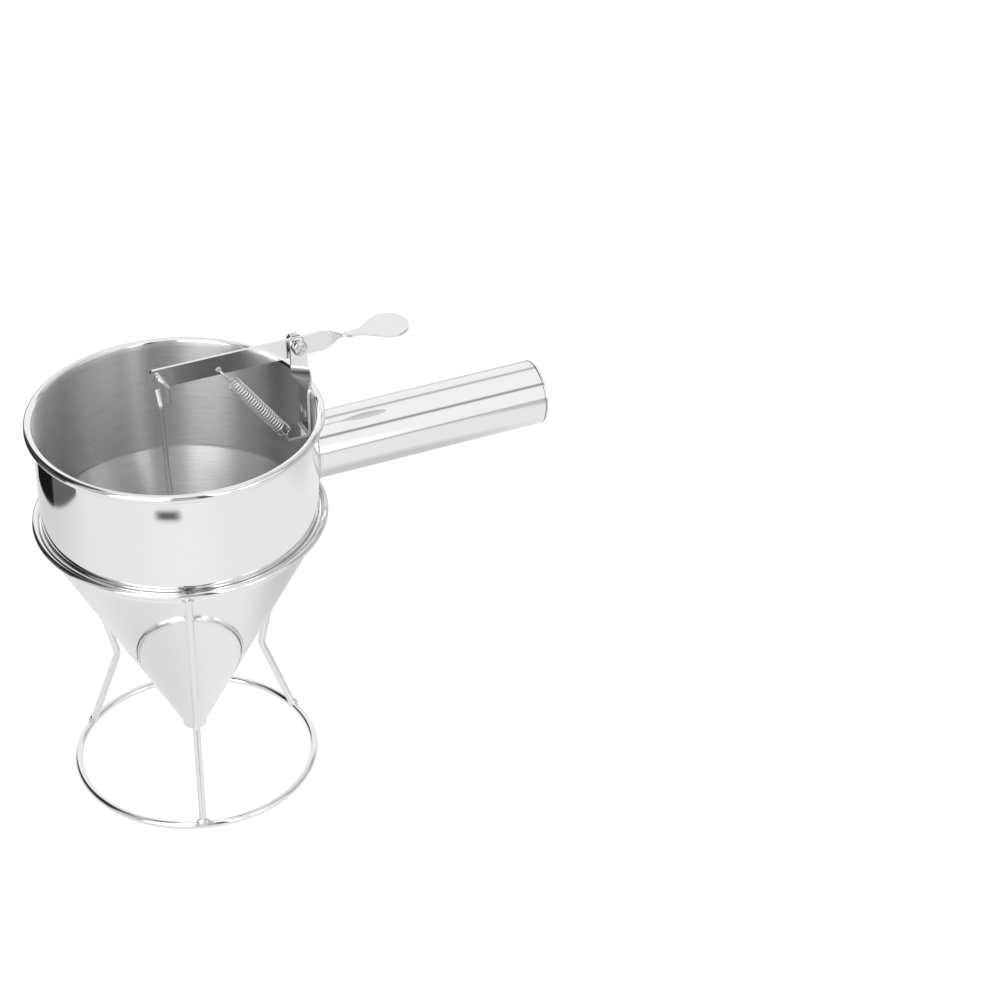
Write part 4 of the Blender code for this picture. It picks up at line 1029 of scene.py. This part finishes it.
class FunnelPivot(bpy.types.Operator):
    """Add the pivot's screw, washers and nut"""

    bl_idname = "funnel.pivot"
    bl_label = "Pivot"

    def execute(self, context):
        sizes = context.scene.funnel_pivot
        self.add_screw(sizes)
        self.add_washer(sizes, "ear_spacer", "pivot_spacer")
        self.add_washer(sizes, "washer_ring", "nut_washer")
        self.add_nut(sizes)
        return {"FINISHED"}

    def add_screw(self, sizes):
        """Pan head with a cross slot, and a threaded end."""
        top, end = SCREW_LOW.y, SCREW_HIGH.y
        seat = top + sizes.head_height
        flat_r = sizes.head_radius - sizes.head_round
        crown = arc((flat_r, top + sizes.head_round), sizes.head_round, -90, 0, steps=10)
        outline = [(0, top)] + crown + [(sizes.head_radius, seat), (sizes.shank, seat)]
        root_r = sizes.shank - sizes.thread_depth
        chamfer = sizes.chamfer
        y = NUT_LOW.y
        while y < end - chamfer - sizes.thread_pitch:
            outline += [(sizes.shank, y), (root_r, y + HALF * sizes.thread_pitch)]
            y += sizes.thread_pitch
        outline += [(sizes.shank, end - chamfer), (sizes.shank - chamfer, end), (0, end)]
        screw = revolved("cross_screw", outline, sizes.steps, ON_PIVOT)
        half_slot = HALF * sizes.slot
        on_head = Matrix.Translation((PIVOT_X, top, PIVOT_Z))
        turned = on_head @ Matrix.Rotation(sizes.slot_turn, 4, "Y")
        slots = []
        for x, z in ((flat_r, half_slot), (half_slot, flat_r)):
            form = bmesh.new()
            bmesh.ops.create_cube(form, size=2)
            matrix = turned @ Matrix.Diagonal((x, sizes.slot_depth, z, 1))
            bmesh.ops.transform(form, matrix=matrix, verts=form.verts)
            slots.append(solid(f"slot_{len(slots)}", form))
        carved(screw, slots)
        dress(screw, "hopper", "fastener", "pivot_screw", "plated_steel")

    def add_washer(self, sizes, name, node):
        low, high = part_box(node)
        bore = sizes.shank + sizes.play
        outer = HALF * (high.x - low.x)
        edge = sizes.edge
        outline = [
            (bore, low.y),
            (outer - edge, low.y),
            (outer, low.y + edge),
            (outer, high.y - edge),
            (outer - edge, high.y),
            (bore, high.y),
        ]
        washer = revolved(name, outline, sizes.steps, ON_PIVOT)
        dress(washer, "hopper", "fastener", node, "plated_steel")

    def add_nut(self, sizes):
        """Chamfered disc cut to its flats, with its bore."""
        half_side = pi / sizes.nut_sides
        flat_r = HALF * (NUT_HIGH.z - NUT_LOW.z) * cos(half_side)
        flat_r = min(flat_r, HALF * (NUT_HIGH.x - NUT_LOW.x))
        corner_r = flat_r / cos(half_side)
        drop = HALF * (corner_r - flat_r)
        low, high = NUT_LOW.y, NUT_HIGH.y
        bore = sizes.shank + HALF * sizes.play
        outline = [
            (bore, low),
            (flat_r, low),
            (corner_r, low + drop),
            (corner_r, high - drop),
            (flat_r, high),
            (bore, high),
        ]
        form = bmesh.new()
        spun(form, outline, sizes.nut_steps)
        for side in range(sizes.nut_sides):
            angle = 2 * half_side * side + half_side
            normal = Vector((cos(angle), sin(angle), 0))
            cut = bmesh.ops.bisect_plane(
                form, geom=form.verts[:] + form.edges[:] + form.faces[:], plane_co=normal * flat_r,
                plane_no=normal, clear_outer=True, dist=0.1 * MERGE,
            )["geom_cut"]
            bmesh.ops.edgeloop_fill(form, edges=only(bmesh.types.BMEdge, cut))
        bmesh.ops.transform(form, matrix=ON_PIVOT, verts=form.verts)
        dress(solid("hex_nut", form, crease=25), "hopper", "fastener", "pivot_nut", "plated_steel")


class FunnelLever(bpy.types.Operator):
    """Add the thumb lever"""

    bl_idname = "funnel.lever"
    bl_label = "Lever"

    def execute(self, context):
        sizes = context.scene.funnel_lever
        pivot = context.scene.funnel_pivot
        rod = context.scene.funnel_rod
        spring = context.scene.funnel_spring
        z = LEVER_LOW.z + HALF * sizes.height
        places = []
        corner = sizes.end_round
        for away, drop in arc((corner, corner), corner, 180, 90, steps=8):
            height = sizes.height + 2 * (drop - 2 * corner)
            middle = (LEVER_LOW.x + away, 0, z)
            places.append(placed(middle, (0, 0, 1), (0, -1, 0), height, sizes.strip))
        twist_x = PIVOT_X + sizes.straight
        for i in range(sizes.steps + 1):
            part = eased(i / sizes.steps)
            angle = part * HALF * pi
            width = sizes.height + (sizes.neck_width - sizes.height) * part
            x = twist_x + sizes.twist * i / sizes.steps
            broad, thick = (0, -sin(angle), cos(angle)), (0, -cos(angle), -sin(angle))
            places.append(placed((x, 0, z), broad, thick, width, sizes.strip))
        paddle_x = twist_x + sizes.twist
        flare = sizes.paddle_length * sizes.flare
        outline = []
        for i in range(1, sizes.steps + 1):
            widening = (sizes.paddle_width - sizes.neck_width) * eased(i / sizes.steps)
            outline.append((paddle_x + flare * i / sizes.steps, sizes.neck_width + widening))
        for i in range(1, sizes.steps + 1):
            angle = HALF * pi + (sizes.paddle_tip - HALF * pi) * i / sizes.steps
            x = paddle_x + flare + (sizes.paddle_length - flare) * cos(angle)
            outline.append((x, sizes.paddle_width * sin(angle)))
        for x, width in outline:
            places.append(placed((x, 0, z), (0, -1, 0), (0, 0, -1), width, sizes.strip))
        cutters = []
        for name, radius, x, drop in (
            ("pivot_hole", pivot.shank + pivot.play, PIVOT_X, 0),
            ("rod_hole", rod.radius + rod.hole_play, AXIS.x - rod.hook_reach, rod.hook_drop),
            ("spring_hole", spring.hole, PIVOT_X - spring.arm, spring.hole_drop),
        ):
            middle = Vector((x, 0, PIVOT_Z - drop))
            cutters.append(hole_cutter(name, radius, middle, Vector((0, sizes.height, 0))))
        lever = bent_strip("lever_strip", places, cutters, sizes.edge)
        dress(lever, "lever", "satin_strip", "thumb_lever", "rolled_strip")
        return {"FINISHED"}


class FunnelRod(bpy.types.Operator):
    """Add the lift rod and its plug"""

    bl_idname = "funnel.rod"
    bl_label = "Lift Rod"

    def execute(self, context):
        sizes = context.scene.funnel_rod
        hook_z = PIVOT_Z - sizes.hook_drop
        straight_z = STOPPER_HIGH.z
        kink_z = hook_z - sizes.kink_drop
        hook_x = -sizes.hook_reach

        def rod_x(z):
            return hook_x * (z - straight_z) / (hook_z - straight_z)

        tip_x = hook_x + sizes.tail_sway
        route = [
            at_axis(0, 0, straight_z - sizes.socket),
            at_axis(0, 0, straight_z),
            at_axis(rod_x(kink_z), 0, kink_z),
            at_axis(rod_x(kink_z + sizes.kink_height), sizes.hook_out, kink_z + sizes.kink_height),
            at_axis(hook_x, sizes.hook_out, hook_z),
            at_axis(hook_x, -sizes.hook_out, hook_z),
            at_axis(tip_x, -sizes.hook_out, hook_z - sizes.sway_drop),
            at_axis(tip_x, -sizes.hook_out, hook_z - sizes.tail),
        ]
        bend = sizes.hook_bend
        path = rounded_path(route, [bend, 2 * bend, 2 * bend, bend, bend, 2 * bend])
        rod = bent_wire("rod_wire", sizes.radius, sizes.sides, path)
        soften(rod, sizes.edge)
        dress(rod, "rod", "stand_wire", "lift_rod", "lift_wire")
        self.add_plug(context.scene.funnel_sheet, sizes)
        return {"FINISHED"}

    def add_plug(self, sheet, sizes):
        """Plug whose cone matches the hopper's, with a neck round the rod."""
        slope_top = sheet.outlet + sheet.spout_height
        slope = (sheet.radius - sheet.spout_radius) / (sheet.shoulder - slope_top)
        gap = (sheet.wall + sizes.plug_gap) / cos(atan2(slope, 1))
        low, top = STOPPER_LOW.z, STOPPER_HIGH.z
        low_r = sheet.spout_radius + slope * (low - slope_top) - gap
        brim_r = HALF * (STOPPER_HIGH.x - STOPPER_LOW.x)
        brim_z = slope_top + (brim_r + gap - sheet.spout_radius) / slope
        neck_r = 2 * sizes.radius
        edge = sizes.plug_edge
        outline = [
            (0, low),
            (low_r - edge, low),
            (low_r, low + edge),
            (brim_r, brim_z),
            (brim_r - edge, brim_z + edge),
            (neck_r + 2 * edge, top - 4 * edge),
            (neck_r, top - 2 * edge),
            (neck_r - edge, top),
            (sizes.radius, top),
            (sizes.radius, top - 2 * edge),
            (0, top - 2 * edge),
        ]
        plug = revolved("outlet_plug", outline, sizes.plug_steps)
        dress(plug, "rod", "polished_sheet", "outlet_stopper", "polished_cup")


class FunnelSpring(bpy.types.Operator):
    """Add the wound return spring"""

    bl_idname = "funnel.spring"
    bl_label = "Return Spring"

    def execute(self, context):
        sizes = context.scene.funnel_spring
        bracket = context.scene.funnel_bracket
        hole = Vector((PIVOT_X - sizes.arm, 0, PIVOT_Z - sizes.hole_drop))
        bar_x = BRACKET_LOW.x + bracket.tab_hole_inset - bracket.tab_hole
        bar = Vector((bar_x, 0, BRACKET_LOW.z))
        pull = (bar - hole).normalized()
        loop = bar - pull * (sizes.radius - sizes.wire - sizes.bar_gap)
        apex = hole + pull * (sizes.hole - sizes.wire - sizes.bar_gap)
        path = self.wire_path(sizes, apex, loop)
        spring = bent_wire("spring_coil", sizes.wire, sizes.sides, path)
        spring.data.materials.append(finish("wound_spring"))
        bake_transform(spring)
        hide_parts("return_spring")
        return {"FINISHED"}

    def wire_path(self, sizes, apex, loop):
        """Long hook, corner, even turns, corner, and a loop round the tab's edge."""
        along = (loop - apex).normalized()
        side = Vector((0, 1, 0))
        across = along.cross(side)
        r = sizes.radius
        steps = sizes.turn_steps
        points = []

        def place(angle, down):
            points.append(apex + along * down + side * (r * cos(angle)) + across * (r * sin(angle)))

        swing = HALF * pi - atan2(sizes.pitch, FULL_TURN * r)
        corner_turn = sizes.corner * (1 - cos(swing)) / r
        corner_drop = sizes.corner * sin(swing)
        coil_end = (loop - apex).length - sizes.tab_hook
        turns = round((coil_end - sizes.long_hook) / sizes.pitch) + QUARTER
        sweep = FULL_TURN * turns - 2 * corner_turn
        coil_start = coil_end - sizes.pitch * sweep / FULL_TURN
        points.append(apex + along * (coil_start - sizes.free_gap) - side * r)
        for a, b in arc((r, 0), r, 270, 90, steps=steps // 2):
            points.append(apex + along * a + side * b)
        for i in range(sizes.corner_steps + 1):
            bend = swing * i / sizes.corner_steps
            drop = coil_start - corner_drop + sizes.corner * sin(bend)
            place(sizes.corner * (1 - cos(bend)) / r, drop)
        coil_steps = ceil(sweep / FULL_TURN * steps)
        for i in range(1, coil_steps):
            part = i / coil_steps
            place(corner_turn + sweep * part, coil_start + (coil_end - coil_start) * part)
        for i in range(sizes.corner_steps + 1):
            bend = swing * (1 - i / sizes.corner_steps)
            angle = FULL_TURN * turns - sizes.corner * (1 - cos(bend)) / r
            place(angle, coil_end + corner_drop - sizes.corner * sin(bend))
        for a, b in arc((0, 0), r, 90, -90, steps=steps // 2):
            points.append(loop + along * a + across * b)
        points.append(loop - along * sizes.tab_end - across * r)
        return points


PANELS = (
    # azimuth, half width, lowest and highest sine of the elevation, edge softness, brightness
    (307, 28, -0.2, 1.00, 5, 0.98),
    (358, 24, -0.2, 0.45, 5, 0.56),
    (358, 24, 0.45, 1.00, 5, 0.60),
    (303, 7, -0.2, 0.42, 2, 2.4),
    (280, 6, -0.2, 0.45, 4, 2.2),
    (278, 7, 0.40, 0.90, 4, 3.0),
    (255, 12, -0.2, 0.90, 4, 0.5),
    (222, 20, -0.2, 0.90, 6, 2.2),
    (222, 20, 0.40, 0.90, 6, 3.0),
    (185, 12, -0.2, 0.90, 6, 0.6),
    (65, 43, -0.2, 1.00, 5, 0.97),
)
# Sines of the elevation where the ceiling starts and where it is full, and its brightness
CEILING = (0.88, 0.92, 0.98)
FLAGS = (
    # the same for dark cloths, which hang before the panels and the ceiling
    (271, 4.5, -0.2, 0.90, 3, 0.12),
    (141, 29, -0.2, 0.80, 4, 0.04),
)
DARK_LINES = (
    # angle about the handle's direction from the front horizon, half width, darkness
    (54.5, 8.0, 0.70),
    (127.0, 10.0, 0.48),
    (0.0, 7.0, 0.40),
)
PAINTED_FLOOR_LIGHT_AND_SHADE = (
    # painted shadow under the cone and the handle and painted pools of light and shade on the
    # floor, seen only in the steel: place from the hopper's axis, half length and width, turn, soft
    # share, brightness in the steel
    ((-103, -323), 300, 300, 0, 0.9, 0.94),
    ((-230, 273), 380, 330, 0, 0.9, 0.70),
    ((160, 20), 120, 180, 0, 0.7, 0.62),
    ((-50, 0), 90, 90, 0, 0.9, 0.76),
    ((1267, -1060), 2400, 700, -72, 0.12, 0.58),
)
EDGE_SOFT = 0.05
HORIZON_SOFT = 0.02
AXIS_SOFT = 0.001

# Dark cloths on the floor, seen only in the steel: distances, then azimuth, half width and softness
CLOTH_CENTRE = (129 * MM, -200 * MM, 0)
CLOTH_EDGE = (545 * MM, 552 * MM)
CLOTH_SIDES = (139.5, 29.5, 1.0)
CLOTH_BRIGHTNESS = 0.13
FOLD_SIDES = (125, 15, 1.5)
FOLD_BRIGHTNESS = 0.01
BACK_EDGE = (560 * MM, 620 * MM)
BACK_SIDES = (93, 17, 2.0)
BACK_BRIGHTNESS = 0.05
BAR_DISTANCE = 366 * MM
BAR_EDGE = (3 * MM, 6 * MM)
BAR_SIDES = (243, 7, 5.0)


def lay(recipe, light, mask, brightness):
    """Cover the light so far with a brightness where the mask is one."""
    change = recipe.math("SUBTRACT", brightness, light)
    return recipe.math("ADD", light, recipe.times(change, mask))


def facing(recipe, parts, azimuth, half, soft):
    """One where a flat direction lies within half of an azimuth, in degrees."""
    x, y = parts[0], parts[1]
    angle = radians(azimuth)
    flat = recipe.math("SQRT", recipe.math("ADD", recipe.times(x, x), recipe.times(y, y)))
    along = recipe.math("ADD", recipe.times(x, cos(angle)), recipe.times(y, sin(angle)))
    aligned = recipe.math("DIVIDE", along, recipe.math("MAXIMUM", flat, AXIS_SOFT))
    return recipe.ramp(aligned, cos(radians(half + soft)), cos(radians(half - soft)), smooth=True)


def hung(recipe, light, parts, cloths, strength):
    """Cover the light with panels or cloths that hang round the room."""
    for azimuth, half, low, high, soft, brightness in cloths:
        above = recipe.ramp(parts[2], low, low + EDGE_SOFT, smooth=True)
        below = recipe.ramp(parts[2], high, high - EDGE_SOFT, smooth=True)
        mask = recipe.times(facing(recipe, parts, azimuth, half, soft), recipe.times(above, below))
        light = lay(recipe, light, mask, brightness * strength)
    return light


def studio_world(studio):
    """White for the camera; for the steel a grey room with panels, a ceiling and dark cloths."""
    world = bpy.data.worlds.new("studio")
    recipe = Recipe(world)
    parts = recipe.split(recipe.add("ShaderNodeTexCoord").outputs["Generated"])
    y, z = parts[1], parts[2]
    light = hung(recipe, studio.room, parts, PANELS, studio.panels)
    low, high, brightness = CEILING
    light = lay(recipe, light, recipe.ramp(z, low, high, smooth=True), brightness * studio.panels)
    light = hung(recipe, light, parts, FLAGS, 1.0)
    around = recipe.times(recipe.math("ARCTAN2", z, recipe.times(y, -1.0)), degrees(1))
    for angle, half, darkness in DARK_LINES:
        off = recipe.math("ABSOLUTE", recipe.math("SUBTRACT", around, angle))
        light = recipe.times(light, recipe.ramp(off, 0.0, half, 1 - darkness, 1.0, smooth=True))
    above = recipe.ramp(z, -HORIZON_SOFT, 0.0, smooth=True)
    light = lay(recipe, light, recipe.math("SUBTRACT", 1.0, above), studio.floor_far)
    seen = recipe.add("ShaderNodeLightPath").outputs["Is Camera Ray"]
    light = lay(recipe, light, seen, 1.0)
    glow = recipe.add("ShaderNodeBackground", Color=(1, 1, 1, 1), Strength=light)
    recipe.add("ShaderNodeOutputWorld", i0=glow.outputs[0])
    bpy.context.scene.world = world


def painted_floor_light(recipe, place, studio):
    """The floor as the steel shows it: painted light, paler near the stand and dimmer far off, with
    painted shadow under the cone and the handle, painted patches of light and shade elsewhere, and
    dark cloths.
    """
    distance = recipe.vector("LENGTH", place)
    # painted light falloff: paler near the stand, dimmer far off
    light = recipe.ramp(
        distance, studio.floor_near, studio.floor_fade, studio.floor_mirrored, studio.floor_far,
        smooth=True,
    )
    # painted shadow and painted pools of light on the floor, each by its place
    for centre, half_x, half_y, angle, soft, brightness in PAINTED_FLOOR_LIGHT_AND_SHADE:
        local = recipe.add(
            "ShaderNodeMapping", {"vector_type": "TEXTURE"}, Vector=place,
            Location=(centre[0] * MM, centre[1] * MM, 0), Rotation=(0, 0, radians(angle)),
            Scale=(half_x * MM, half_y * MM, 1),
        )
        reach = recipe.vector("LENGTH", local.outputs[0])
        painted_patch = recipe.ramp(reach, 1 - soft, 1, 1.0, 0.0, smooth=True)
        light = lay(recipe, light, painted_patch, brightness)
    parts = recipe.split(place)
    # Tall cloth behind the cup's left side, with a darker fold, and one further back
    from_edge = recipe.vector("LENGTH", recipe.vector("SUBTRACT", place, CLOTH_CENTRE))
    beyond = recipe.ramp(from_edge, *CLOTH_EDGE, smooth=True)
    cloth = recipe.times(beyond, facing(recipe, parts, *CLOTH_SIDES))
    light = lay(recipe, light, cloth, CLOTH_BRIGHTNESS)
    fold = recipe.times(cloth, facing(recipe, parts, *FOLD_SIDES))
    light = lay(recipe, light, fold, FOLD_BRIGHTNESS)
    behind = recipe.ramp(distance, *BACK_EDGE, smooth=True)
    back = recipe.times(behind, facing(recipe, parts, *BACK_SIDES))
    light = lay(recipe, light, back, BACK_BRIGHTNESS)
    # Short bar before the cup, mirrored just below the rim
    off_line = recipe.math("ABSOLUTE", recipe.math("SUBTRACT", distance, BAR_DISTANCE))
    bar = recipe.ramp(off_line, *BAR_EDGE, 1.0, 0.0, smooth=True)
    return lay(recipe, light, recipe.times(bar, facing(recipe, parts, *BAR_SIDES)), 0.0)


def floor_finish(studio):
    """Pale floor that keeps a faint shadow, and shows its own light in the steel."""
    material = bpy.data.materials.new("studio_floor")
    recipe = Recipe(material)
    place = recipe.add("ShaderNodeTexCoord").outputs["Object"]
    from_axis = recipe.vector("SUBTRACT", place, tuple(AXIS))
    mirrored = recipe.add("ShaderNodeEmission", Strength=painted_floor_light(recipe, from_axis, studio))
    glow = recipe.add("ShaderNodeEmission", Strength=studio.floor_glow)
    matt = recipe.add("ShaderNodeBsdfDiffuse", Color=(*studio.floor_tone, 1))
    direct = recipe.add("ShaderNodeAddShader", i0=glow.outputs[0], i1=matt.outputs[0])
    seen = recipe.add("ShaderNodeLightPath").outputs["Is Camera Ray"]
    both = recipe.add(
        "ShaderNodeMixShader", i0=seen, i1=mirrored.outputs[0], i2=direct.outputs[0],
    )
    recipe.add("ShaderNodeOutputMaterial", i0=both.outputs[0])
    return material


class FunnelStage(bpy.types.Operator):
    """Add the floor, the studio light and the camera"""

    bl_idname = "funnel.stage"
    bl_label = "Stage"

    def execute(self, context):
        studio = context.scene.funnel_studio
        form = bmesh.new()
        bmesh.ops.create_grid(form, x_segments=1, y_segments=1, size=HALF * studio.floor_size)
        mesh = bpy.data.meshes.new("floor")
        form.to_mesh(mesh)
        form.free()
        mesh.materials.append(floor_finish(studio))
        floor = bpy.data.objects.new("floor", mesh)
        context.scene.collection.objects.link(floor)
        studio_world(studio)
        context.scene.view_settings.view_transform = "Standard"
        self.add_camera(context, studio)
        return {"FINISHED"}

    def add_camera(self, context, studio):
        lens = bpy.data.cameras.new("camera")
        lens.sensor_width = studio.sensor
        lens.lens = studio.lens
        camera = bpy.data.objects.new("camera", lens)
        heading = Matrix.Rotation(studio.azimuth, 4, "Z")
        tilt = Matrix.Rotation(HALF * pi - studio.elevation, 4, "X")
        roll = Matrix.Rotation(studio.roll, 4, "Z")
        camera.matrix_world = Matrix.Translation(studio.camera_place) @ heading @ tilt @ roll
        context.scene.collection.objects.link(camera)
        context.scene.camera = camera


class FunnelPanel(bpy.types.Panel):
    """Buttons for each piece of the funnel"""

    bl_idname = "VIEW3D_PT_funnel"
    bl_label = "Batter Funnel"
    bl_space_type = "VIEW_3D"
    bl_region_type = "UI"
    bl_category = "Batter Funnel"

    def draw(self, context):
        for operator in OPERATORS:
            self.layout.operator(operator.bl_idname)


SIZE_GROUPS = {
    "funnel_sheet": FunnelSheetSizes,
    "funnel_stand": FunnelStandSizes,
    "funnel_handle": FunnelHandleSizes,
    "funnel_bracket": FunnelBracketSizes,
    "funnel_pivot": FunnelPivotSizes,
    "funnel_lever": FunnelLeverSizes,
    "funnel_rod": FunnelRodSizes,
    "funnel_spring": FunnelSpringSizes,
    "funnel_finishes": FunnelFinishes,
    "funnel_studio": FunnelStudio,
}
OPERATORS = (
    FunnelCup, FunnelCone, FunnelStand, FunnelHandle, FunnelBracket, FunnelPivot, FunnelLever,
    FunnelRod, FunnelSpring, FunnelStage,
)
CLASSES = (*SIZE_GROUPS.values(), *OPERATORS, FunnelPanel)


def register():
    for item in CLASSES:
        bpy.utils.register_class(item)
    for name, group in SIZE_GROUPS.items():
        setattr(bpy.types.Scene, name, PointerProperty(type=group))


def unregister():
    for name in SIZE_GROUPS:
        delattr(bpy.types.Scene, name)
    for item in reversed(CLASSES):
        bpy.utils.unregister_class(item)


def main():
    """Build everything in order."""
    register()
    bpy.ops.funnel.cup()
    bpy.ops.funnel.cone()
    bpy.ops.funnel.stand()
    bpy.ops.funnel.handle()
    bpy.ops.funnel.bracket()
    bpy.ops.funnel.pivot()
    bpy.ops.funnel.lever()
    bpy.ops.funnel.rod()
    bpy.ops.funnel.spring()
    bpy.ops.funnel.stage()


if __name__ == "__main__":
    main()
